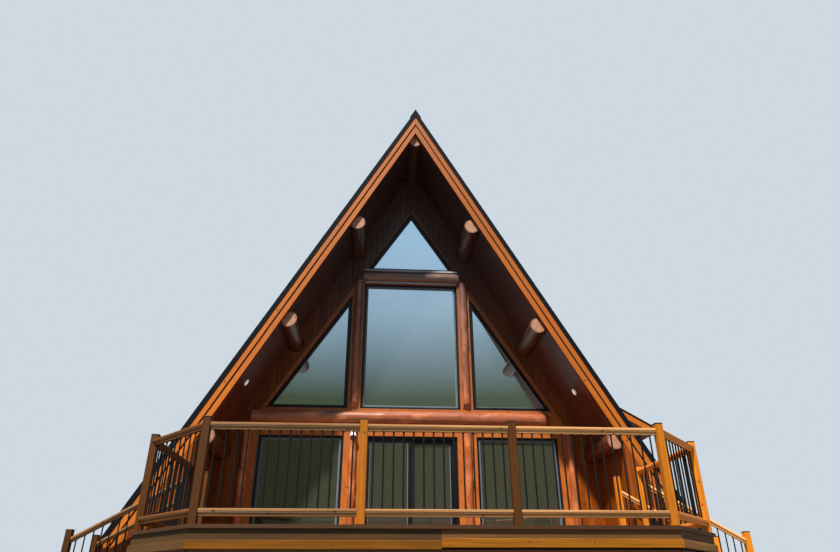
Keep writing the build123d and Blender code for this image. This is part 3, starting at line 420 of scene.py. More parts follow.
@dataclass(frozen=True)
class Pane:
    """Coated double glazing with painted reflection: a cloud mottled pale blue mirror tint upstairs and a
    dark greenish tint downstairs.
    """

    name: str = "pane"
    # Painted reflection: pale blue sky tints upstairs and a dark greenish tint downstairs.
    clear: tuple[Colour, Colour] = ((0.74, 0.84, 0.88), (0.86, 0.94, 0.97))
    painted_dark_reflection: Colour = (0.38, 0.39, 0.29)
    change_from: float = 3.2
    change_over: float = 0.4

    def material(self) -> Material:
        """Builds the material.

        Returns:
            The material.
        """
        net = Surface(self.name)
        cloud = net.noise(net.place(), 0.7, 3.0)
        # Painted reflection: cloud mottled pale blue upstairs, dark greenish below the change height, the
        # mirror weaker downstairs.
        upper = ((net.height() - self.change_from) / self.change_over).clamp()
        colour = net.blend((cloud * 1.6 - 0.4).clamp(), *self.clear)
        colour = net.blend(upper, self.painted_dark_reflection, colour)
        ripple = net.noise(net.place(), 1.6, 1.0)
        values = {"Base Color": colour, "Metallic": 0.34 + upper * 0.46 + cloud * 0.04,
                  "Roughness": 0.012 + ripple * 0.012, "Transmission Weight": 0.9, "IOR": 1.5,
                  "Coat Weight": 0.5, "Coat IOR": 1.6, "Coat Roughness": 0.01}
        return net.close(values, ripple, 0.004, 0.1)


@dataclass(frozen=True)
class Masonry:
    """Rendered blockwork with faint courses and stains towards the ground."""

    name: str = "masonry"
    colour: Colour = paint(158, 153, 145)
    cloudy: Colour = paint(118, 112, 103)
    stained: Colour = paint(84, 78, 66)
    mortar: Colour = paint(96, 92, 86)
    course: float = 0.2
    damp_to: float = 0.35

    def material(self) -> Material:
        """Builds the material.

        Returns:
            The material.
        """
        net = Surface(self.name)
        place, height = net.place(), net.height()
        course = ((height * (FULL_TURN / self.course)).sine() - 0.985).over(0.0)
        cloud = net.noise(place, 2.2, 5.0)
        sand = net.noise(place, 90.0, 2.0)
        damp = ((self.damp_to - height) * 2.2).clamp() * cloud
        colour = net.blend(cloud * 0.6, self.colour, self.cloudy)
        colour = net.blend(damp, colour, self.stained)
        colour = net.blend(course * 0.35, colour, self.mortar)
        values = {"Base Color": colour, "Roughness": 0.86 + sand * 0.08}
        return net.close(values, sand * 0.5 - course + cloud * 0.3, 0.003, 0.6)


@dataclass(frozen=True)
class Lens:
    """The frosted white face of a small lamp."""

    name: str = "lamp_lens"

    def material(self) -> Material:
        """Builds the material.

        Returns:
            The material.
        """
        net = Surface(self.name)
        cloud = net.noise(net.place(), 60.0, 2.0)
        colour = net.blend(cloud, (0.86, 0.86, 0.84), (0.95, 0.95, 0.93))
        return net.close({"Base Color": colour, "Roughness": 0.35 + cloud * 0.1, "Emission Color": colour,
                          "Emission Strength": 0.35})


Finish = Wood | LogEnd | Coated | Pane | Masonry | Lens
# The shade settings below paint shade: each wood darkens upwards towards its shade colour.
BARGE_WOOD = Wood("barge_wood", paint(132, 64, 12), paint(190, 108, 34), ring=0.02, knots=5.0, span=0.3,
                  painted_shade=0.34, painted_shade_colour=paint(110, 62, 34), gloss=0.15)
# Painted shadow line for the barge boards' step and the strip under it.
SHADOW_LINE_WOOD = Wood("painted_shadow_line_wood", paint(34, 15, 5), paint(58, 27, 10), span=0.2)
CASING_WOOD = Wood("casing_wood", paint(122, 59, 18), paint(196, 110, 42), ring=0.016, span=0.3, painted_shade=0.66,
                   painted_shade_colour=(0.055, 0.044, 0.04))
WALL_BOARDS = Wood("wall_boards", paint(88, 38, 6), paint(148, 75, 15), board=BOARD, roughness=0.3,
                   painted_shade=0.9, painted_shade_colour=(0.046, 0.031, 0.031))
# Soffit colours darkened as painted shade under the roof, on top of the painted shade upwards.
SOFFIT_BOARDS = Wood("soffit_boards", paint(72, 28, 10), paint(118, 50, 15), board=BOARD, roughness=0.3,
                     painted_shade=0.92, painted_shade_colour=(0.034, 0.021, 0.022))
LOG_WOOD = Wood("log_wood", paint(64, 26, 12), paint(116, 56, 27), knots=5.0, ring=0.03, roughness=0.3,
                knot=paint(30, 12, 8), blotch=paint(138, 76, 46), blotches=0.6, span=0.3, painted_shade=0.75,
                painted_shade_colour=(0.036, 0.023, 0.022), gloss=0.4, coat=0.12)
HALF_LOG_WOOD = Wood("half_log_wood", paint(98, 44, 20), paint(172, 92, 46), knots=5.0, ring=0.03,
                     roughness=0.28, knot=paint(20, 8, 4), blotch=paint(206, 126, 74), blotches=0.7, span=0.2,
                     painted_shade=0.8, painted_shade_colour=(0.07, 0.058, 0.058), gloss=0.5, coat=0.25)
DECK_WOOD = Wood("deck_wood", paint(104, 56, 4), paint(164, 96, 16), ring=0.014, knots=6.0, roughness=0.45,
                 span=1.3, gloss=0.18)
RAIL_WOOD = Wood("rail_wood", paint(138, 94, 52), paint(216, 160, 102), ring=0.014, knots=6.0, span=0.9)
CORNER_WOOD = Wood("corner_wood", paint(124, 70, 18), paint(190, 118, 48), ring=0.014, knots=6.0, span=1.0,
                   gloss=0.18)
DECK_BOARDS = Wood("deck_boards", paint(92, 54, 24), paint(148, 96, 50), board=DECK_BOARD, roughness=0.55,
                   grey=0.25)
NOSING_WOOD = Wood("nosing_wood", paint(44, 24, 8), paint(76, 46, 18), ring=0.014, knots=6.0, roughness=0.5)
FASCIA_WOOD = Wood("fascia_wood", paint(48, 29, 8), paint(102, 68, 30), roughness=0.6, grey=0.15, knots=6.0,
                   gloss=0.15)
BEAM_WOOD = Wood("beam_wood", paint(72, 40, 3), paint(132, 80, 10), knots=10.0, ring=0.018, gloss=0.15)
LATTICE_WOOD = Wood("lattice_wood", paint(80, 50, 26), paint(126, 84, 46), ring=0.01, roughness=0.6)
FLOOR_WOOD = Wood("floor_wood", paint(100, 66, 36), paint(150, 106, 62), board=0.12, roughness=0.4)
FRAME_BLACK = Coated("frame_black", paint(9, 10, 14), 0.3, gloss=0.3)
BEAD_GREY = Coated("bead_grey", paint(96, 106, 108), 0.35, 0.2)
# Painted reflection: blue-grey for the inner step of the black window frames.
REFLECTION_STEP_BLUE = Coated("step_painted_reflection", paint(66, 78, 90), 0.5, gloss=0.3)
LEDGE_GREY = Coated("ledge_grey", paint(128, 122, 128), 0.45, 0.1)
RAIL_BLACK = Coated("rail_black", paint(8, 7, 7), 0.5, gloss=0.15)
ROOF_BLACK = Coated("roof_black", paint(5, 8, 14), 0.7, speckle=12.0, gloss=0.06)
CAP_METAL = Coated("cap_metal", paint(44, 32, 24), 0.4, 0.2)
LAMP_METAL = Coated("lamp_metal", paint(226, 226, 222), 0.35)
FINISHES: dict[str, Material] = {}


def dressed(finish: Finish) -> Material:
    """Builds the material of a finish, once.

    Args:
        finish: the finish.

    Returns:
        Its material.
    """
    if finish.name not in FINISHES:
        FINISHES[finish.name] = finish.material()
    return FINISHES[finish.name]


class Pattern(Net):
    """A Geometry Nodes tree with named sizes, run once to give a plain mesh."""

    def __init__(self, name: str, sizes: dict) -> None:
        """Args:
            name: the tree's name.
            sizes: its named inputs: whole numbers, numbers or vectors.
        """
        super().__init__(bpy.data.node_groups.new(name, "GeometryNodeTree"))
        self.sizes = sizes
        self.identifiers = {}
        kinds = {int: "NodeSocketInt", float: "NodeSocketFloat", tuple: "NodeSocketVector"}
        self.tree.interface.new_socket("Mesh", in_out="OUTPUT", socket_type="NodeSocketGeometry")
        for label, value in sizes.items():
            socket = self.tree.interface.new_socket(label, in_out="INPUT", socket_type=kinds[type(value)])
            self.identifiers[label] = socket.identifier
        self.given = self.add("NodeGroupInput")

    def __getitem__(self, label: str) -> Wire:
        """The input of that name."""
        return self.given[label]

    def store(self, geometry: Wire, name: str, kind: str, domain: str, value: Wire) -> Wire:
        """Stores a value of a kind in a named attribute."""
        return self.add("GeometryNodeStoreNamedAttribute", {"data_type": kind, "domain": domain},
                        {"Geometry": geometry, "Name": name, "Value": value})[0]

    def block(self, size: Wire) -> Wire:
        """A block of a size, with its own grain along X."""
        cube = self.add("GeometryNodeMeshCube", None, {"Size": size})["Mesh"]
        return self.store(cube, "grain", "FLOAT_VECTOR", "POINT", self.add("GeometryNodeInputPosition")[0])

    def moved(self, piece: Wire, place: "Wire | tuple" = (0.0, 0.0, 0.0),
              turn: tuple = (0.0, 0.0, 0.0)) -> Wire:
        """A piece turned and then moved."""
        values = {"Geometry": piece, "Translation": place, "Rotation": turn}
        return self.add("GeometryNodeTransform", None, values)[0]

    def joined(self, parts: list[Wire]) -> Wire:
        """Several pieces as one."""
        return self.add("GeometryNodeJoinGeometry", None, {0: parts})[0]

    def spread(self, points: Wire, piece: Wire, turn: tuple = (0.0, 0.0, 0.0),
               scale: "Wire | tuple" = (1.0, 1.0, 1.0), seed: int = 7) -> Wire:
        """Puts one copy of a piece at each point, each with a tone of its own.

        Args:
            points: the points.
            piece: what to copy.
            turn: turn of each copy.
            scale: scale of each copy.
            seed: seed of the tones.

        Returns:
            The copies.
        """
        values = {"Points": points, "Instance": piece, "Rotation": turn, "Scale": scale}
        copies = self.add("GeometryNodeInstanceOnPoints", None, values)[0]
        tone = self.add("FunctionNodeRandomValue", {"data_type": "FLOAT"}, {"Seed": seed})[1]
        return self.store(copies, "tone", "FLOAT", "INSTANCE", tone)

    def close(self, parts: list[Wire], finish: Finish) -> bpy.types.Mesh:
        """Ends the tree, runs it and gives the mesh.

        Args:
            parts: the geometry to join.
            finish: the finish of the whole.

        Returns:
            A plain mesh with its grain and tone.
        """
        plain = self.add("GeometryNodeRealizeInstances", None, {0: self.joined(parts)})[0]
        values = {"Geometry": plain, "Material": dressed(finish)}
        done = self.add("GeometryNodeSetMaterial", None, values)[0]
        self.add("NodeGroupOutput", None, {0: done})
        holder = bpy.data.objects.new(self.tree.name, bpy.data.meshes.new(self.tree.name))
        bpy.context.scene.collection.objects.link(holder)
        modifier = holder.modifiers.new("pattern", "NODES")
        modifier.node_group = self.tree
        for label, value in self.sizes.items():
            modifier[self.identifiers[label]] = value
        graph = bpy.context.evaluated_depsgraph_get()
        mesh = bpy.data.meshes.new_from_object(holder.evaluated_get(graph), preserve_all_data_layers=True,
                                               depsgraph=graph)
        holder.modifiers.remove(modifier)
        bpy.data.objects.remove(holder)
        return mesh


def rod_row(count: int, start: Vector, step: Vector, length: float, radius: float, sides: int = 12,
            shoe: float = 0.012, wider: float = 1.35) -> bpy.types.Mesh:
    """A row of upright rods with a shoe at each end.

    Args:
        count: number of rods.
        start: middle of the first rod.
        step: way from one rod to the next.
        length: height of a rod.
        radius: radius of a rod.
        sides: sides of a rod and of a shoe.
        shoe: height of a shoe.
        wider: how many times wider a shoe is than a rod.

    Returns:
        One mesh of all the rods.
    """
    tree = Pattern("rod_row", {"Count": count, "Start": tuple(start), "Step": tuple(step), "Length": length,
                               "Radius": radius})
    line = tree.add("GeometryNodeMeshLine", {"mode": "OFFSET"},
                    {"Count": tree["Count"], "Start Location": tree["Start"], "Offset": tree["Step"]})[0]
    rod, end = [tree.add("GeometryNodeMeshCylinder", None,
                         {"Vertices": sides, "Radius": wide, "Depth": tall})["Mesh"]
                for wide, tall in ((tree["Radius"], tree["Length"]), (tree["Radius"] * wider, shoe))]
    lift = tree["Length"] * 0.5 - shoe / 2
    parts = [rod] + [tree.moved(end, tree.vector(0.0, 0.0, lift * side)) for side in (1.0, -1.0)]
    return tree.close([tree.spread(line, tree.joined(parts))], RAIL_BLACK)


def lattice(width: float, height: float, spacing: float, lath: float, border: float,
            thickness: float = 0.007, layer_place: float = 0.004, board: float = 0.02) -> bpy.types.Mesh:
    """A framed lattice of two crossed layers of laths, centred on the origin in the XZ plane.

    Args:
        width: width over the frame.
        height: height over the frame.
        spacing: distance between parallel laths, square to them.
        lath: width of a lath.
        border: width of the frame's boards.
        thickness: thickness of a lath.
        layer_place: how far the middle of a layer stands off the middle of the frame.
        board: thickness of the frame's boards.

    Returns:
        The lattice as one mesh.
    """
    step = spacing * math.sqrt(2)
    tree = Pattern("lattice", {"Width": width, "Height": height, "Step": step, "Lath": lath,
                               "Border": border, "Count": int((width + height) / step)})
    half_width = (tree["Width"] - tree["Border"]) * 0.5
    half_height = (tree["Height"] - tree["Border"]) * 0.5
    number = tree.add("GeometryNodeInputIndex")[0]
    offset = (number - (tree["Count"] - 1.0) * 0.5) * tree["Step"]
    left = (offset - half_height).maximum(half_width * -1.0)
    right = (offset + half_height).minimum(half_width)
    middle = (left + right) * 0.5
    points = tree.add("GeometryNodeMeshLine", None, {"Count": tree["Count"]})[0]
    place = tree.vector(middle, layer_place, middle - offset)
    points = tree.add("GeometryNodeSetPosition", None, {"Geometry": points, "Position": place})[0]
    stretch = tree.vector(((right - left) * math.sqrt(2)).maximum(0.001), 1.0, 1.0)
    bar = tree.block(tree.vector(1.0, thickness, tree["Lath"]))
    layer = tree.spread(points, bar, (0.0, -math.pi / 4, 0.0), stretch)
    level = tree.block(tree.vector(tree["Width"], board, tree["Border"]))
    upright = tree.block(tree.vector(tree["Height"] - tree["Border"] * 2.0, board, tree["Border"]))
    parts = [layer, tree.moved(layer, turn=(0.0, 0.0, math.pi))]
    for side in (1.0, -1.0):
        parts.append(tree.moved(level, tree.vector(0.0, 0.0, half_height * side)))
        parts.append(tree.moved(upright, tree.vector(half_width * side, 0.0, 0.0), (0.0, math.pi / 2, 0.0)))
    return tree.close(parts, LATTICE_WOOD)


def cad_copy(node: str) -> Solid:
    """Copies a CAD node's mesh, with its points merged and its flat faces whole.

    Args:
        node: the CAD node.

    Returns:
        The copy.
    """
    bm = bmesh.new()
    bm.from_mesh(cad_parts[node].data)
    bmesh.ops.remove_doubles(bm, verts=bm.verts, dist=MERGED)
    bmesh.ops.dissolve_limit(bm, angle_limit=FLAT, verts=bm.verts, edges=bm.edges)
    return bm


def islands(bm: Solid) -> list[Points]:
    """Finds the loose parts of a mesh.

    Args:
        bm: the mesh.

    Returns:
        The points of each part.
    """
    seen, parts = set(), []
    for first in bm.verts:
        if first in seen:
            continue
        seen.add(first)
        part, front = [], [first]
        while front:
            vert = front.pop()
            part.append(vert)
            beside = [edge.other_vert(vert) for edge in vert.link_edges]
            fresh = [other for other in beside if other not in seen]
            seen.update(fresh)
            front.extend(fresh)
        parts.append(part)
    return parts


def centre(part: Points) -> Vector:
    """Mean place of some points."""
    return sum((v.co for v in part), Vector()) / len(part)


def extent(part: Points) -> tuple[Vector, Vector]:
    """Lowest and highest corner of the box round some points."""
    rows = [[v.co[i] for v in part] for i in range(3)]
    return Vector([min(row) for row in rows]), Vector([max(row) for row in rows])


def spans(node: str) -> list[tuple[Vector, Vector]]:
    """Measures the loose parts of a CAD node.

    Args:
        node: the CAD node.

    Returns:
        Lowest and highest corner of each part, from left to right.
    """
    bm = cad_copy(node)
    found = [extent(part) for part in islands(bm)]
    bm.free()
    return sorted(found, key=lambda pair: tuple(round(part, 3) for part in pair[0] + pair[1]))


def bisect(bm: Solid, place: Vector, out: Vector, parts: "list | None" = None, clear: bool = False) -> list:
    """Adds edges where a plane goes through a mesh.

    Args:
        bm: the mesh.
        place: a point of the plane.
        out: direction that the plane looks.
        parts: the points, edges and faces to cut, or else all.
        clear: whether what lies beyond the plane goes.

    Returns:
        The points and edges on the plane.
    """
    return bmesh.ops.bisect_plane(bm, geom=parts or bm.verts[:] + bm.edges[:] + bm.faces[:], dist=ON_PLANE,
                                  plane_co=place, plane_no=out, clear_outer=clear)["geom_cut"]


def cut(bm: Solid, place: Vector, out: Vector) -> None:
    """Cuts away what lies beyond a plane and closes the cut.

    Args:
        bm: the mesh.
        place: a point of the plane.
        out: direction in which the mesh goes.
    """
    edges = [part for part in bisect(bm, place, out, clear=True) if isinstance(part, bmesh.types.BMEdge)]
    bmesh.ops.holes_fill(bm, edges=edges, sides=0)


def append(bm: Solid, other: Solid) -> None:
    """Adds another mesh to this one and frees it.

    Args:
        bm: the mesh that grows.
        other: the mesh that is used up.
    """
    mesh = bpy.data.meshes.new("part")
    other.to_mesh(mesh)
    other.free()
    bm.from_mesh(mesh)
    bpy.data.meshes.remove(mesh)


def parted(bm: Solid, planes: list[Plane]) -> Solid:
    """Splits a closed mesh along planes, in order, into closed members.

    Args:
        bm: the mesh, which is used up.
        planes: a point and a direction each; what lies beyond a plane becomes a member.

    Returns:
        A mesh of the separate members.
    """
    whole = bmesh.new()
    for place, out in planes:
        member = bm.copy()
        cut(member, place, -out)
        cut(bm, place, out)
        append(whole, member)
    append(whole, bm)
    return whole


def soften(bm: Solid, width: float) -> None:
    """Breaks the sharp edges of a mesh with a narrow chamfer.

    Args:
        bm: the mesh.
        width: width of the chamfer on each side of an edge.
    """
    bm.normal_update()
    sharp = [e for e in bm.edges if len(e.link_faces) == 2 and e.calc_face_angle(0.0) > SHARP]
    bmesh.ops.bevel(bm, geom=sharp, offset=width, offset_type="OFFSET", segments=1, profile=0.5,
                    affect="EDGES", clamp_overlap=True)


def groove(bm: Solid, across: Vector, pitch: float, towards: Vector, start: float = 0.0,
           width: float = 0.012, depth: float = 0.008) -> None:
    """Cuts V grooves between boards into the outermost flat face that looks one way.

    Args:
        bm: the mesh to groove.
        across: direction across the boards.
        pitch: width of a board.
        towards: direction that the grooved face looks.
        start: place of one groove.
        width: width of a groove.
        depth: depth of a groove.
    """
    level = max(v.co.dot(towards) for v in bm.verts)
    places = [v.co.dot(across) for v in bm.verts]
    first = math.ceil((min(places) + width - start) / pitch)
    last = math.floor((max(places) - width - start) / pitch)
    for number in range(first, last + 1):
        middle = start + number * pitch
        for shift in (-width / 2, 0.0, width / 2):
            bisect(bm, across * (middle + shift), across)
        for vert in bm.verts:
            if abs(vert.co.dot(across) - middle) < NEAR and vert.co.dot(towards) > level - NEAR:
                vert.co -= towards * depth


def band(bm: Solid, low: Points, high: Points, finish: int = 0) -> None:
    """Closes the gap between two rings of as many points with faces.

    Args:
        bm: the mesh that holds the points.
        low: the first ring.
        high: the ring beside it.
        finish: number of the faces' finish.
    """
    for i, near in enumerate(low):
        j = (i + 1) % len(low)
        bm.faces.new((near, low[j], high[j], high[i])).material_index = finish


def grain_layers(bm: Solid) -> tuple[bmesh.types.BMLayerItem, bmesh.types.BMLayerItem]:
    """New layers for the grain and the tone of each point."""
    return bm.verts.layers.float_vector.new("grain"), bm.verts.layers.float.new("tone")


def grain_members(bm: Solid, seed: int, painted_light_tone: "PaintedLightTone | None" = None, kept: float = 0.15) -> None:
    """Gives each loose member its own grain along its longest edge and a tone.

    Args:
        bm: the mesh.
        seed: seed of the tones and of the places in the wood.
        painted_light_tone: painted light and shade: tone of the member at a place, where chance alone doesn't
            choose it.
            kept: share of chance in the tone beside the painted light and shade.
        kept: share of chance in the tone beside the stain.
    """
    grain, tone = grain_layers(bm)
    chance = random.Random(seed)
    for part in islands(bm):
        edges = dict.fromkeys(e for v in part for e in v.link_edges)
        ways = [e.verts[1].co - e.verts[0].co for e in edges]
        along = max(ways, key=lambda way: way.length).normalized()
        square = [way for way in ways if abs(way.normalized().dot(along)) < LEANING and way.length > ON_PLANE]
        side = max(square, key=lambda way: way.length)
        side = (side - along * side.dot(along)).normalized()
        up = along.cross(side)
        middle = centre(part)
        own, shift = chance.random(), chance.uniform(-20, 20)
        # Painted light and shade mixed into the member's tone.
        if painted_light_tone:
            own = own * kept + painted_light_tone(middle) * (1.0 - kept)
        for vert in part:
            way = vert.co - middle
            vert[grain] = Vector((way.dot(along) + shift, way.dot(side), way.dot(up)))
            vert[tone] = own


def grain_boards(bm: Solid, along: Vector, across: Vector, start: float = 0.0, own: float = 0.37) -> None:
    """Gives a boarded piece one grain, with the boards counted from a groove.

    Args:
        bm: the mesh.
        along: direction along the boards.
        across: direction across them.
        start: place of one groove.
        own: tone of the piece.
    """
    grain, tone = grain_layers(bm)
    up = along.cross(across)
    for vert in bm.verts:
        vert[grain] = Vector((vert.co.dot(along), vert.co.dot(across) - start, vert.co.dot(up)))
        vert[tone] = own


def finished(bm: Solid, name: str, finishes: list[Finish], slot: str, *nodes: str, body: Body = Body.CABIN,
             smooth: bool = False) -> None:
    """Turns a mesh into a finished piece of the scene.

    Args:
        bm: the mesh, in place, which is used up.
        name: the piece's name.
        finishes: its finishes, in the order of the faces' numbers.
        slot: the record's material slot; not used.
        nodes: CAD nodes that it stands for.
        body: the body that it rides on.
        smooth: whether its skin is round.
    """
    mesh = bpy.data.meshes.new(name)
    bm.normal_update()
    bm.to_mesh(mesh)
    bm.free()
    for finish in finishes:
        mesh.materials.append(dressed(finish))
    if smooth:
        mesh.shade_smooth()
        mesh.set_sharp_from_angle(angle=CREASE)
    piece = bpy.data.objects.new(name, mesh)
    bpy.context.scene.collection.objects.link(piece)
    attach(piece, body.value)
    if nodes:
        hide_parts(*nodes)
    log.info("%s: %d faces", name, len(mesh.polygons))


def timber(node: str, finish: Wood, slot: str, chamfer: float, seed: int,
           painted_light_tone: "PaintedLightTone | None" = None) -> None:
    """Builds the piece for a CAD node of straight members, each with broken edges and its own grain.

    Args:
        node: the CAD node.
        finish: the wood.
        slot: the slot of the piece.
        chamfer: width of the broken edges.
        seed: seed of the grain.
        painted_light_tone: painted light and shade: tone of the member at a place, where it isn't left to
            chance.
    """
    bm = cad_copy(node)
    soften(bm, chamfer)
    grain_members(bm, seed, painted_light_tone)
    finished(bm, node + "_timber", [finish], slot, node)


def coat_node(node: str, finish: Finish) -> None:
    """Gives a finish to a CAD node that stays.

    Args:
        node: the CAD node.
        finish: the finish.
    """
    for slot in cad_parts[node].material_slots:
        slot.link = "OBJECT"
        slot.material = dressed(finish)


@dataclass
class Logs:
    """Round logs under the roof and half logs on the front wall, all peeled."""

    roof: "Roof"
    places: Pairs = ((0.0, 9.4196), (1.195, 7.218), (2.406, 5.015), (3.617, 2.812))
    radius: float = 0.165
    ring_step: float = 0.09
    least_rings: int = 6
    sides: int = 32
    end_rings: int = 6
    knot_rise: float = 0.012
    knot_length: float = 0.07
    knot_width: float = 0.05
    knot_rate: float = 2.2
    wave_count: int = 6
    wander: float = 0.014
    wander_radius: float = 0.145
    half_lumps: float = 2.6
    upper: float = 3.0
    foot: float = 0.07
    foot_out: Vector = Vector((0, -0.79, -0.61))
    round_share: float = 0.6
    round_left_of: float = -2.0
    end_inset: float = 0.006
    end_rise: float = 0.004

    def stations(self, length: float, round_end: float) -> list[float]:
        """Chooses the places of the rings along a log.

        Args:
            length: length of the log.
            round_end: length over which the far end is rounded off.

        Returns:
            The places, closer together towards a rounded end.
        """
        count = max(self.least_rings, int(length / self.ring_step))
        places = [length * i / count for i in range(count + 1)]
        if round_end:
            places = [p for p in places if p < length - round_end]
            places += [length - round_end * math.cos(math.pi / 2 * i / self.end_rings)
                       for i in range(1, self.end_rings + 1)]
        return places

    def shape(self, start: Vector, along: Vector, side: Vector, length: float, radius: float, seed: int,
              round_end: float = 0.0, lumps: float = 1.0) -> Solid:
        """Builds a peeled log: a wandering skin with swollen knots, and two sawn ends.

        Args:
            start: centre of the first end.
            along: direction of the log.
            side: a direction square to it.
            length: length of the log.
            radius: largest radius, which the skin stays within.
            seed: seed of the wandering and the knots.
            round_end: length over which the far end is rounded off.
            lumps: how many times more knots than on a roof log.

        Returns:
            The log as a closed mesh, ends in the second material.
        """
        chance = random.Random(seed)
        up = along.cross(side)
        bm = bmesh.new()
        grain, tone = grain_layers(bm)
        own, shift = chance.random(), chance.uniform(-20, 20)
        waves = [(chance.uniform(1.2, 5.0), chance.uniform(0, 6.28), chance.randint(0, 3))
                 for _ in range(self.wave_count)]
        knots = [(chance.uniform(0, length), chance.uniform(0, 6.28), chance.uniform(0.5, 1.0))
                 for _ in range(int(length * self.knot_rate * lumps))]
        rings = []
        for place in self.stations(length, round_end):
            shrink = 1.0
            if round_end and place > length - round_end:
                reach = (place - length + round_end) / round_end
                shrink = 1.0 - (1.0 - math.sqrt(max(0.0, 1.0 - reach * reach))) * round_end / radius
            ring = []
            for i in range(self.sides):
                turn = FULL_TURN * i / self.sides
                rough = sum(math.sin(place * rate + phase + turn * fold) for rate, phase, fold in waves)
                dip = self.wander * (0.5 + 0.5 * (rough / self.wave_count))
                skin = radius * shrink - dip * radius / self.wander_radius
                for where, angle, size in knots:
                    gap = (turn - angle + math.pi) % FULL_TURN - math.pi
                    far = ((place - where) / self.knot_length) ** 2 + (gap * radius / self.knot_width) ** 2
                    skin += self.knot_rise * size * lumps ** 0.5 * math.exp(-far)
                skin = min(skin, radius * shrink * (1.0 + (lumps - 1.0) * 0.05))
                a, b = math.cos(turn) * skin, math.sin(turn) * skin
                vert = bm.verts.new(start + along * place + side * a + up * b)
                vert[grain] = Vector((place + shift, a, b))
                vert[tone] = own
                ring.append(vert)
            rings.append(ring)
        for low, high in zip(rings, rings[1:]):
            band(bm, low, high)
        for ring in (rings[0][::-1], rings[-1]):
            face = bm.faces.new(ring)
            sizes = {"thickness": self.end_inset, "depth": self.end_rise}
            made = bmesh.ops.inset_individual(bm, faces=[face], **sizes)
            for end in [face] + made["faces"]:
                end.material_index = 1
        bm.normal_update()
        return bm

    def roof_log(self, low: Vector, high: Vector, seed: int) -> Solid:
        """Builds a round log, cut flat under the roof boards.

        Args:
            low: lowest corner of the CAD log.
            high: highest corner of the CAD log.
            seed: seed of the log.

        Returns:
            The log.
        """
        middle = (low + high) / 2
        side = 1 if middle.x > 0 else -1
        x, z = min(self.places, key=lambda place: math.dist((abs(middle.x), middle.z), place))
        whole = self.shape(Vector((x * side, low.y, z)), BACK, RIGHT, high.y - low.y, self.radius, seed)
        for way in (side,) if x else (1, -1):
            cut(whole, UP * self.roof.soffit, self.roof.out(way))
        return whole

    def half_log(self, low: Vector, high: Vector, seed: int) -> Solid:
        """Builds a half log flat against the wall, upright or level.

        Args:
            low: lowest corner of the CAD half log.
            high: highest corner of the CAD half log.
            seed: seed of the half log.

        Returns:
            The half log.
        """
        level = high.x - low.x > high.z - low.z
        radius = high.y - low.y
        if level:
            along, start = RIGHT, Vector((low.x, high.y, (low.z + high.z) / 2))
        else:
            along, start = UP, Vector(((low.x + high.x) / 2, high.y, low.z))
        ending = radius * self.round_share if level and low.x < self.round_left_of else 0.0
        reach = (high - low).dot(along)
        half = self.shape(start, along, -BACK, reach, radius, seed, ending, self.half_lumps)
        cut(half, BACK * high.y, BACK)
        if not level and low.z > self.upper:
            cut(half, Vector((0, high.y, low.z + self.foot)), self.foot_out)
        return half

    def build(self) -> None:
        """Builds the ridge log, the side logs and the half logs."""
        kinds = {"ridge_log": (self.roof_log, LOG_WOOD, 20), "purlin_logs": (self.roof_log, LOG_WOOD, 20),
                 "half_log_beams": (self.half_log, HALF_LOG_WOOD, 60),
                 "half_log_posts": (self.half_log, HALF_LOG_WOOD, 60)}
        for node, (make, wood, seed) in kinds.items():
            whole = bmesh.new()
            for number, (low, high) in enumerate(spans(node)):
                append(whole, make(low, high, seed + number + len(node)))
            finished(whole, node + "_peeled", [wood, LogEnd()], "peeled_log", node, smooth=True)


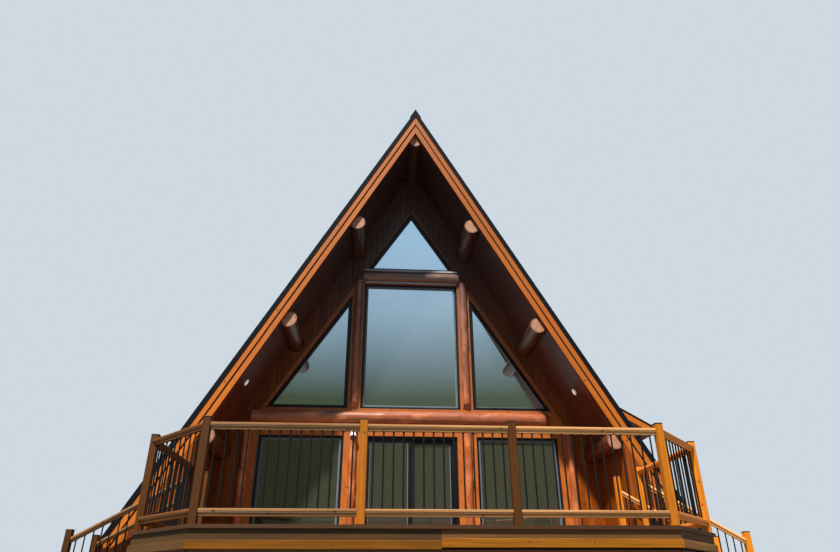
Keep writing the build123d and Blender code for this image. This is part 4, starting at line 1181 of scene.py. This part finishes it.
@dataclass
class Roof:
    """Boarded slabs, barge boards, roofing with standing seams, and the dormer."""

    pitch: float = math.radians(61.2)
    soffit: float = 9.5496
    peak: float = 10.1723
    # Where the painted shadow line lies, measured square from the roof's outer face.
    shadow_line_top: float = 0.183
    shadow_line_foot: float = 0.202
    shadow_line_lip: float = 0.008
    shadow_line_floor: float = 0.002
    # Painted light: tone of the left barge board and of the right one.
    barge_light_tones: tuple[float, float] = (0.8, 0.2)
    barge_chamfer: float = 0.004
    dormer_chamfer: float = 0.005

    def down(self, side: int) -> Vector:
        """Direction down the slope on one side."""
        return Vector((side * math.cos(self.pitch), 0, -math.sin(self.pitch)))

    def out(self, side: int) -> Vector:
        """Direction square out of the slope on one side."""
        return Vector((side * math.sin(self.pitch), 0, math.cos(self.pitch)))

    def slabs(self) -> None:
        """Builds the roof slabs, whose undersides show the boards that run up the slope."""
        for side, node in ((1, "roof_right"), (-1, "roof_left")):
            bm = cad_copy(node)
            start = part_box(node)[0].y + BOARD / 2
            groove(bm, BACK, BOARD, -self.out(side), start)
            grain_boards(bm, self.down(side), BACK, start)
            finished(bm, node + "_boarded", [SOFFIT_BOARDS], "cedar_boards", node)

    def barge_light_tone(self, middle: Vector) -> float:
        """Painted light at a place: the left barge board lighter, the right one darker."""
        return self.barge_light_tones[0] if middle.x < 0 else self.barge_light_tones[1]

    def barges(self) -> None:
        """Builds the barge boards, parted at the peak, with a painted shadow line: dark faces on the step
        between their two bands and on a strip of the lower band under it.
        """
        bm = parted(cad_copy("barge_boards"), [(Vector(), RIGHT)])
        soften(bm, self.barge_chamfer)
        for side in (1, -1):
            half = [v for v in bm.verts if v.co.x * side > -NEAR]
            edges = dict.fromkeys(e for v in half for e in v.link_edges)
            faces = dict.fromkeys(f for v in half for f in v.link_faces)
            foot = UP * (self.peak - self.shadow_line_foot / math.cos(self.pitch))
            bisect(bm, foot, self.out(side), [*half, *edges, *faces])
        grain_members(bm, 3, self.barge_light_tone)
        bm.normal_update()
        # Painted shadow line: faces on the step and on the strip under it take the dark wood.
        for face in bm.faces:
            middle = face.calc_center_median()
            depth = (self.peak - abs(middle.x) * math.tan(self.pitch) - middle.z) * math.cos(self.pitch)
            foot = self.shadow_line_foot if abs(face.normal.y) > LEANING else self.shadow_line_top + self.shadow_line_floor
            face.material_index = int(self.shadow_line_top - self.shadow_line_lip < depth < foot)
        finished(bm, "barge_timber", [BARGE_WOOD, SHADOW_LINE_WOOD], "orange_trim", "barge_boards")

    def dormer(self) -> None:
        """Builds the boarded dormer walls and the timber edge of the dormer's roof."""
        bm = cad_copy("dormer_walls")
        for across, towards in ((BACK, RIGHT), (RIGHT, -BACK), (RIGHT, BACK)):
            groove(bm, across, BOARD, towards)
        grain_boards(bm, UP, RIGHT + BACK)
        finished(bm, "dormer_boarded", [WALL_BOARDS], "cedar_boards", "dormer_walls")
        timber("dormer_roof", BARGE_WOOD, "orange_trim", self.dormer_chamfer, 5)

    def build(self) -> None:
        """Builds the whole roof."""
        self.slabs()
        self.barges()
        self.dormer()
        coat_node("roofing", ROOF_BLACK)
        coat_node("ridge_cap", ROOF_BLACK)


@dataclass
class Walls:
    """Boarded walls, casing boards, foundation and floors."""

    chamfer: float = 0.003
    ledges: tuple[tuple[float, ...], ...] = ((1.04, 6.765, 0.05, 0.045), (1.0, 6.475, 0.045, 0.03))
    ledge_back: float = -2.0085
    ledge_slope: float = 0.8
    ledge_edge: float = 0.002

    def ledge_strips(self) -> None:
        """Builds the folded metal ledges over and under the upper half log, each with a sloped top."""
        bm = bmesh.new()
        for half, foot, height, reach in self.ledges:
            back, front = self.ledge_back, self.ledge_back - reach
            brow, top = foot + height * self.ledge_slope, foot + height
            outline = ((back, foot), (front, foot), (front, brow), (back, top))
            ends = [[bm.verts.new((x, y, z)) for y, z in outline] for x in (-half, half)]
            bm.faces.new(ends[0])
            bm.faces.new(ends[1][::-1])
            band(bm, *ends)
        bmesh.ops.recalc_face_normals(bm, faces=bm.faces)
        soften(bm, self.ledge_edge)
        finished(bm, "gable_ledges", [LEDGE_GREY], "black_frame")

    def boarded(self, node: str, towards: Vector) -> None:
        """Builds a wall with upright boards on one face.

        Args:
            node: the CAD node.
            towards: direction that the boarded face looks.
        """
        bm = cad_copy(node)
        groove(bm, RIGHT, BOARD, towards)
        grain_boards(bm, UP, RIGHT)
        finished(bm, node + "_boarded", [WALL_BOARDS], "cedar_boards", node)

    def build(self) -> None:
        """Builds the walls and the floors."""
        for node in ("front_wall_left", "front_wall_right", "front_gable", "rear_wall", "porch_wings"):
            self.boarded(node, BACK if node == "rear_wall" else -BACK)
        for node, seed in (("front_wall_lintel", 7), ("casing_boards", 8)):
            timber(node, CASING_WOOD, "orange_trim", self.chamfer, seed)
        self.ledge_strips()
        for node in ("main_floor", "upper_floor"):
            bm = cad_copy(node)
            grain_boards(bm, BACK, RIGHT)
            finished(bm, node + "_boarded", [FLOOR_WOOD], "floor_wood", node)
        coat_node("foundation_walls", Masonry())


@dataclass
class Windows:
    """Fixed windows and the sliding patio door."""

    bead: float = 0.01
    bead_slope: float = 0.6
    step: float = 0.026
    lift: float = 0.003
    chamfer: float = 0.003
    least_pane: float = 0.2
    most_corners: int = 4

    def frames(self, node: str, body: Body = Body.CABIN) -> None:
        """Builds coated frames with broken edges.

        Args:
            node: the CAD node.
            body: the body that they ride on.
        """
        bm = cad_copy(node)
        soften(bm, self.chamfer)
        finished(bm, node + "_coated", [FRAME_BLACK], "black_frame", node, body=body)

    def rim(self, bm: Solid, ring: list[Vector], out: Vector, inward: float, low: float,
            high: float) -> None:
        """Adds a closed band that follows the outline of a pane.

        Args:
            bm: the mesh to add to.
            ring: corners of the outline.
            out: direction that the band stands out in.
            inward: width of the band, inwards from the outline or outwards when less than nothing.
            low: height of its free edge.
            high: height of its edge on the outline.
        """
        edge = []
        for before, corner, after in zip(ring[-1:] + ring[:-1], ring, ring[1:] + ring[:1]):
            come, go = (corner - before).normalized(), (after - corner).normalized()
            half = math.sqrt((1 + come.dot(go)) / 2)
            edge.append(corner + (go - come).normalized() * (inward / half))
        rings = [ring, edge, [p + out * low for p in edge], [p + out * high for p in ring]]
        made = [[bm.verts.new(p) for p in part] for part in rings]
        for near, far in zip(made, made[1:] + made[:1]):
            band(bm, near, far)

    def panes(self, node: str) -> list[tuple[list[Vector], Vector]]:
        """Finds both faces of each pane of a CAD node.

        Args:
            node: the CAD node.

        Returns:
            Outline and outward direction of each face.
        """
        bm = cad_copy(node)
        bm.normal_update()
        found = [([v.co.copy() for v in face.verts], face.normal.copy()) for face in bm.faces
                 if face.calc_area() > self.least_pane and len(face.verts) <= self.most_corners]
        bm.free()
        return found

    def beads(self, node: str, body: Body = Body.CABIN) -> None:
        """Builds the glazing beads round each pane on both of its faces.

        Args:
            node: the CAD node of the glass.
            body: the body that they ride on.
        """
        whole = bmesh.new()
        for ring, out in self.panes(node):
            self.rim(whole, ring, out, self.bead, self.bead * self.bead_slope, self.bead)
        bmesh.ops.recalc_face_normals(whole, faces=whole.faces)
        finished(whole, node + "_beads", [BEAD_GREY], "black_frame", body=body)

    def steps(self) -> None:
        """Builds the pale blue-grey inner step on the outer face of each four-sided front window frame, its
        colour a painted reflection on the black frame.
        """
        whole = bmesh.new()
        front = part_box("front_window_frames")[0].y
        for ring, out in self.panes("front_window_glass"):
            if out.y < 0 and len(ring) == 4:
                flat = [Vector((p.x, front, p.z)) for p in ring]
                self.rim(whole, flat, out, -self.step, self.lift, self.lift)
        bmesh.ops.recalc_face_normals(whole, faces=whole.faces)
        finished(whole, "front_window_steps", [REFLECTION_STEP_BLUE], "black_frame")

    def build(self) -> None:
        """Builds frames, beads and glass, the moving leaf on its own body."""
        for node in ("front_window_frames", "plain_window_frames", "door_frame", "fixed_leaf"):
            self.frames(node)
        for node in ("sliding_leaf", "door_handle"):
            self.frames(node, Body.DOOR)
        for node in ("front_window_glass", "plain_window_glass", "fixed_leaf_glass"):
            coat_node(node, Pane())
            self.beads(node)
        self.steps()
        coat_node("sliding_leaf_glass", Pane())
        self.beads("sliding_leaf_glass", Body.DOOR)


@dataclass
class Deck:
    """The deck's boards, frame, edge boards, piers and lattice."""

    guard_line: float = -7.2315
    half_width: float = 2.6
    side: float = 3.45
    corner_depth: float = 0.95
    board_gap: float = 0.008
    board_depth: float = 0.02
    joint: float = 0.0085
    edge_chamfer: float = 0.004
    past_corner: float = 0.02
    # Painted light and shade: tones of the left and right fascia boards and beam boards.
    edge_light_tones: tuple[float, float] = (-0.45, 0.95)
    beam_step: float = 0.018
    beam_light_tones: tuple[float, float] = (0.2, 1.6)
    lath_spacing: float = 0.057
    lath: float = 0.034
    lattice_border: float = 0.07

    def mitres(self, side: int) -> list[Plane]:
        """Finds the planes that part one half of the deck's edge at its corners.

        Args:
            side: 1 for the right half, -1 for the left one.

        Returns:
            A point and a direction for each corner, the outer corner first.
        """
        corner = Vector((self.half_width, self.guard_line, 0))
        elbow = Vector((self.side, self.guard_line + self.corner_depth, 0))
        slant = (elbow - corner).normalized()
        flip = Vector((side, 1, 1))
        return [(place * flip, way.normalized() * flip) for place, way in ((elbow, slant + BACK),
                                                                           (corner, RIGHT + slant))]

    def edge(self, node: str, finish: Wood, slot: str, seed: int, tones: tuple[float, float],
             past: "Wood | None" = None, lift: float = 0.0) -> None:
        """Builds the boards that go round the deck's edge, mitred at the corners and butted in the middle.

        Args:
            node: the CAD node.
            finish: finish of the front boards.
            slot: the slot of the piece.
            seed: seed of the grain.
            tones: painted light and shade: tone of the left boards, darker, and of the right ones, lighter.
            past: finish past the corners, where it is another one.
            lift: how much higher the right half stands than the left one.
        """
        whole = bmesh.new()
        for side in (1, -1):
            half = cad_copy(node)
            cut(half, RIGHT * self.joint, RIGHT * -side)
            if side > 0:
                bmesh.ops.translate(half, verts=half.verts, vec=UP * lift)
            append(whole, parted(half, self.mitres(side)))
        soften(whole, self.edge_chamfer)
        # Painted light and shade: left boards darker, right ones lighter.
        grain_members(whole, seed, lambda place: tones[0] if place.x < 0 else tones[1])
        for part in islands(whole):
            beyond = bool(past) and abs(centre(part).x) > self.half_width + self.past_corner
            for face in {f for v in part for f in v.link_faces}:
                face.material_index = int(beyond)
        finished(whole, node + "_mitred", [finish, past] if past else [finish], slot, node)

    def floor(self) -> None:
        """Builds the deck's boards, with a darker edge."""
        bm = cad_copy("deck_floor")
        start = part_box("deck_floor")[0].y
        groove(bm, BACK, DECK_BOARD, UP, start, self.board_gap, self.board_depth)
        grain_boards(bm, RIGHT, BACK, start)
        bm.normal_update()
        for face in bm.faces:
            face.material_index = int(abs(face.normal.z) < LEANING)
        finished(bm, "deck_boards", [DECK_BOARDS, NOSING_WOOD], "deck_wood", "deck_floor")

    def lattices(self, node: str) -> None:
        """Builds the fine lattice of one or two panels in the place of the coarse CAD one.

        Args:
            node: the CAD node.
        """
        whole = bmesh.new()
        bm = cad_copy(node)
        for part in islands(bm):
            low, high = extent(part)
            feet = [v for v in part if v.co.z < low.z + NEAR]
            ways = [e.verts[1].co - e.verts[0].co for v in part for e in v.link_edges]
            along = max(ways, key=lambda w: w.xy.length if abs(w.z) < NEAR else 0).normalized()
            reach = [v.co.dot(along) for v in feet]
            near, far = extent(feet)
            mesh = lattice(max(reach) - min(reach), high.z - low.z, self.lath_spacing, self.lath,
                           self.lattice_border)
            turn = Matrix((along, UP.cross(along), UP)).transposed().to_4x4()
            middle = Vector(((near.x + far.x) / 2, (near.y + far.y) / 2, (low.z + high.z) / 2))
            mesh.transform(Matrix.Translation(middle) @ turn)
            whole.from_mesh(mesh)
        bm.free()
        finished(whole, node + "_fine", [LATTICE_WOOD], "lattice_wood", node)

    def build(self) -> None:
        """Builds the deck."""
        self.floor()
        self.edge("deck_fascia", FASCIA_WOOD, "weathered_fascia", 11, self.edge_light_tones)
        self.edge("deck_beam", BEAM_WOOD, "gold_board", 12, self.beam_light_tones, FASCIA_WOOD, self.beam_step)
        for node, chamfer, seed in (("deck_joists", 0.003, 13), ("deck_piers", 0.006, 14)):
            timber(node, DECK_WOOD, "deck_wood", chamfer, seed)
        for node in ("lattice_front", "lattice_corners", "lattice_sides"):
            self.lattices(node)


@dataclass
class Guard:
    """Posts, caps, rails and rods round the deck and down the stairs."""

    rod_radius: float = 0.0095
    neighbour: float = 0.2
    even: float = 0.004
    rail_level: float = 1.157
    rail_apart: float = 0.908
    rail_groove: tuple[float, float] = (0.014, 0.009)
    rail_chamfer: float = 0.006
    post_chamfer: float = 0.007
    cap_chamfer: float = 0.005
    corner_out: Vector = Vector((0.745, -0.667, 0))
    # Painted light and shade: tones of the posts and rails, darker on the left and lighter on the right.
    post_light_tones: Pairs = ((-3.45, -0.2), (-2.6, -0.17), (-0.87, 0.66), (0.87, -0.12), (2.6, 0.8), (3.45, 1.3))
    front_half: float = 2.65
    between: float = 1.6
    top_light_tone: tuple[float, float] = (0.14, 0.265)
    low_light_tone: tuple[float, float] = (-0.07, 0.11)
    shaded_tone: float = -0.26
    lit_tone: float = 1.5

    def post_light_tone(self, middle: Vector) -> float:
        """Painted light and shade at a place: the tone of the nearest front post, darker for posts in shade,
        lighter for sunlit ones.
        """
        return min(self.post_light_tones, key=lambda painted_light_tone: abs(painted_light_tone[0] - middle.x))[1]

    def rail_light_tone(self, middle: Vector) -> float:
        """Painted light and shade of the rail at a place: darker left of the front, lighter right of it, and
        between them lighter to the right, the low rail darker.

        Args:
            middle: middle of the rail.

        Returns:
            The tone.
        """
        if abs(middle.x) > self.front_half:
            return self.shaded_tone if middle.x < 0 else self.lit_tone
        tone, rise = self.top_light_tone if middle.z > self.between else self.low_light_tone
        return tone + middle.x * rise

    def rows(self, middles: list[Vector]) -> list[list[Vector]]:
        """Gathers rods into straight and even rows.

        Args:
            middles: middles of the rods, which are used up.

        Returns:
            The rows.
        """
        rows = []
        while middles:
            row = [middles.pop(0)]
            near = min(middles, key=lambda p: (p - row[0]).length, default=row[0] + RIGHT)
            if (near - row[0]).length < self.neighbour:
                step = near - row[0]
                for way in (step, -step):
                    while following := [p for p in middles if (p - row[-1] - way).length < self.even]:
                        row.append(following[0])
                        middles.remove(following[0])
                    row.reverse()
            rows.append(row)
        return rows

    def rods(self, node: str) -> None:
        """Builds rows of round rods in the place of a CAD node's plain ones.

        Args:
            node: the CAD node.
        """
        boxes = spans(node)
        tall = max(high.z - low.z for low, high in boxes)
        whole = bmesh.new()
        for row in self.rows([(low + high) / 2 for low, high in boxes]):
            step = row[1] - row[0] if len(row) > 1 else Vector()
            whole.from_mesh(rod_row(len(row), row[0], step, tall, self.rod_radius))
        finished(whole, node + "_round", [RAIL_BLACK], "black_frame", node, smooth=True)

    def rails(self) -> None:
        """Builds the rails, grooved on the sides that look outwards."""
        corners = (self.corner_out, self.corner_out * Vector((-1, 1, 1)))
        sides = {"front_rails": ((-BACK,), RAIL_WOOD), "corner_rails": (corners, CORNER_WOOD),
                 "side_rails": ((RIGHT, -RIGHT), CORNER_WOOD), "stair_front_rails": ((), RAIL_WOOD),
                 "stair_back_rails": ((), RAIL_WOOD)}
        for number, (node, (ways, wood)) in enumerate(sides.items()):
            bm = cad_copy(node)
            soften(bm, self.rail_chamfer)
            for way in ways:
                groove(bm, UP, self.rail_apart, way, self.rail_level, *self.rail_groove)
            # Rails toned by painted light and shade.
            grain_members(bm, 22 + number, self.rail_light_tone)
            finished(bm, node + "_timber", [wood], "deck_wood", node)

    def build(self) -> None:
        """Builds the guard."""
        # Posts toned by painted light and shade.
        timber("guard_posts", DECK_WOOD, "deck_wood", self.post_chamfer, 21, self.post_light_tone)
        self.rails()
        bm = cad_copy("post_caps")
        soften(bm, self.cap_chamfer)
        finished(bm, "post_caps_folded", [CAP_METAL], "cap_metal", "post_caps")
        self.rods("balusters")
        self.rods("stair_balusters")
        for node, chamfer, seed in (("stair_stringers", 0.004, 30), ("stair_treads", 0.006, 31)):
            timber(node, DECK_WOOD, "deck_wood", chamfer, seed)


@dataclass
class Lamps:
    """Small round lamps in the soffit and one shade on the left inner post of the wall."""

    roof: Roof
    radius: float = 0.07
    places: tuple[tuple[int, float, float], ...] = ((-1, 3.12, -2.955), (1, 3.135, -2.83))
    outline: Pairs = ((1.0, 0.0), (1.0, 0.008), (0.9, 0.014), (0.74, 0.014), (0.7, 0.009), (0.45, 0.0105),
                      (0.0, 0.012))
    lens_band: int = 3
    shade_place: tuple[float, float, float] = (-1.126, -2.1, 3.11)
    shade_height: float = 0.11
    shade_outline: Pairs = ((0.022, 0.0), (0.028, 0.012), (0.034, 0.02), (0.066, 0.11), (0.064, 0.112),
                            (0.036, 0.036), (0.0, 0.03))
    shade_lens_band: int = 4
    sides: int = 28

    def lathe(self, bm: Solid, foot: Vector, out: Vector, along: Vector, outline: Pairs,
              lens_from: int) -> None:
        """Turns an outline round an axis into a closed form.

        Args:
            bm: the mesh to add to.
            foot: where the axis starts.
            out: direction of the axis.
            along: a direction square to it.
            outline: radius and rise of each ring, and of the tip.
            lens_from: the first band that takes the second finish.
        """
        across = out.cross(along)
        turns = [FULL_TURN * i / self.sides for i in range(self.sides)]
        spokes = [along * math.cos(turn) + across * math.sin(turn) for turn in turns]
        rows = [[bm.verts.new(foot + out * rise + spoke * radius) for spoke in spokes]
                for radius, rise in outline[:-1]]
        for number, (low, high) in enumerate(zip(rows, rows[1:])):
            band(bm, low, high, int(number >= lens_from))
        tip = bm.verts.new(foot + out * outline[-1][1])
        for near, far in zip(rows[-1], rows[-1][1:] + rows[-1][:1]):
            bm.faces.new((near, far, tip)).material_index = 1
        bm.faces.new(rows[0][::-1])

    def build(self) -> None:
        """Builds one lamp on each side, set on the boards, and the shade on the wall."""
        bm = bmesh.new()
        outline = tuple((self.radius * part, rise) for part, rise in self.outline)
        for side, x, y in self.places:
            foot = Vector((side * x, y, self.roof.soffit - x * math.tan(self.roof.pitch)))
            self.lathe(bm, foot, -self.roof.out(side), self.roof.down(side), outline, self.lens_band)
        top = Vector(self.shade_place) + UP * self.shade_height
        self.lathe(bm, top, -UP, RIGHT, self.shade_outline, self.shade_lens_band)
        bmesh.ops.recalc_face_normals(bm, faces=bm.faces)
        finished(bm, "porch_lamps", [LAMP_METAL, Lens()], "cap_metal", smooth=True)


@dataclass
class Studio:
    """Pale floor, soft light and the camera at the photograph's viewing angle."""

    floor_width: float = 160.0
    floor_colour: Colour = (0.18, 0.18, 0.175)
    floor_roughness: float = 0.9
    camera_place: tuple[float, float, float] = (-0.753, -14.3235, 0.398)
    yaw: float = math.radians(4.418)
    pitch: float = math.radians(26.996)
    roll: float = math.radians(-0.216)
    focal_pixels: float = 619.8
    picture_pixels: int = 840
    sensor: float = 36.0
    far: float = 400.0
    sun_way: tuple[float, float, float] = (-0.54, -1.0, 1.76)
    sun_energy: float = 9.4
    sun_angle: float = math.radians(2.5)
    sun_colour: Colour = (1.0, 0.95, 0.87)
    backdrop: Colour = (0.62, 0.69, 0.76)
    sky: tuple = ((0.0, (0.085, 0.09, 0.065)), (0.27, (0.078, 0.1, 0.055)), (0.4, (0.38, 0.52, 0.64)),
                  (0.5, (0.46, 0.66, 0.86)), (1.0, (0.34, 0.55, 0.86)))

    def floor(self) -> None:
        """Builds a plain pale floor."""
        bpy.ops.mesh.primitive_plane_add(size=self.floor_width)
        ground = bpy.context.object
        ground.name = "studio_floor"
        values = {"Base Color": (*self.floor_colour, 1.0), "Roughness": self.floor_roughness}
        ground.data.materials.append(Surface("studio_floor").close(values))

    def light(self) -> None:
        """Sets a plain pale backdrop, a soft light that brightens upwards, and a sun from the front left."""
        bpy.context.scene.view_settings.view_transform = "Standard"
        world = bpy.data.worlds.new("studio_sky")
        bpy.context.scene.world = world
        world.use_nodes = True
        world.node_tree.nodes.clear()
        net = Net(world.node_tree)
        way = net.add("ShaderNodeTexCoord")["Generated"]
        height = net.add("ShaderNodeSeparateXYZ", None, {0: way})[2]
        sky = net.add("ShaderNodeValToRGB", {"stops": self.sky}, {"Fac": height})["Color"]
        seen = net.add("ShaderNodeLightPath")["Is Camera Ray"]
        colour = net.blend(seen, sky, self.backdrop)
        back = net.add("ShaderNodeBackground", None, {"Color": colour, "Strength": 1.0})
        net.add("ShaderNodeOutputWorld", None, {"Surface": back[0]})
        lamp = bpy.data.lights.new("key", "SUN")
        lamp.energy = self.sun_energy
        lamp.angle = self.sun_angle
        lamp.color = self.sun_colour
        key = bpy.data.objects.new("key", lamp)
        bpy.context.scene.collection.objects.link(key)
        key.rotation_mode = "QUATERNION"
        key.rotation_quaternion = Vector(self.sun_way).to_track_quat("Z", "Y")

    def camera(self) -> None:
        """Sets the camera where the photograph was taken from."""
        lens = bpy.data.cameras.new("camera")
        lens.sensor_width = self.sensor
        lens.sensor_fit = "HORIZONTAL"
        lens.lens = self.focal_pixels * self.sensor / self.picture_pixels
        lens.clip_end = self.far
        eye = bpy.data.objects.new("camera", lens)
        bpy.context.scene.collection.objects.link(eye)
        turn = (Matrix.Rotation(-self.yaw, 4, "Z") @ Matrix.Rotation(math.pi / 2 + self.pitch, 4, "X")
                @ Matrix.Rotation(self.roll, 4, "Z"))
        eye.matrix_world = Matrix.Translation(Vector(self.camera_place)) @ turn
        bpy.context.scene.camera = eye

    def build(self) -> None:
        """Builds the studio."""
        self.floor()
        self.light()
        self.camera()


def main() -> None:
    """Builds the pieces in order and reports each one."""
    logging.basicConfig(level=logging.INFO, format="%(message)s")
    roof = Roof()
    for part in (Studio(), Logs(roof), roof, Walls(), Windows(), Deck(), Guard(), Lamps(roof)):
        part.build()
        log.info("%s done", type(part).__name__)


if __name__ == "__main__":
    main()
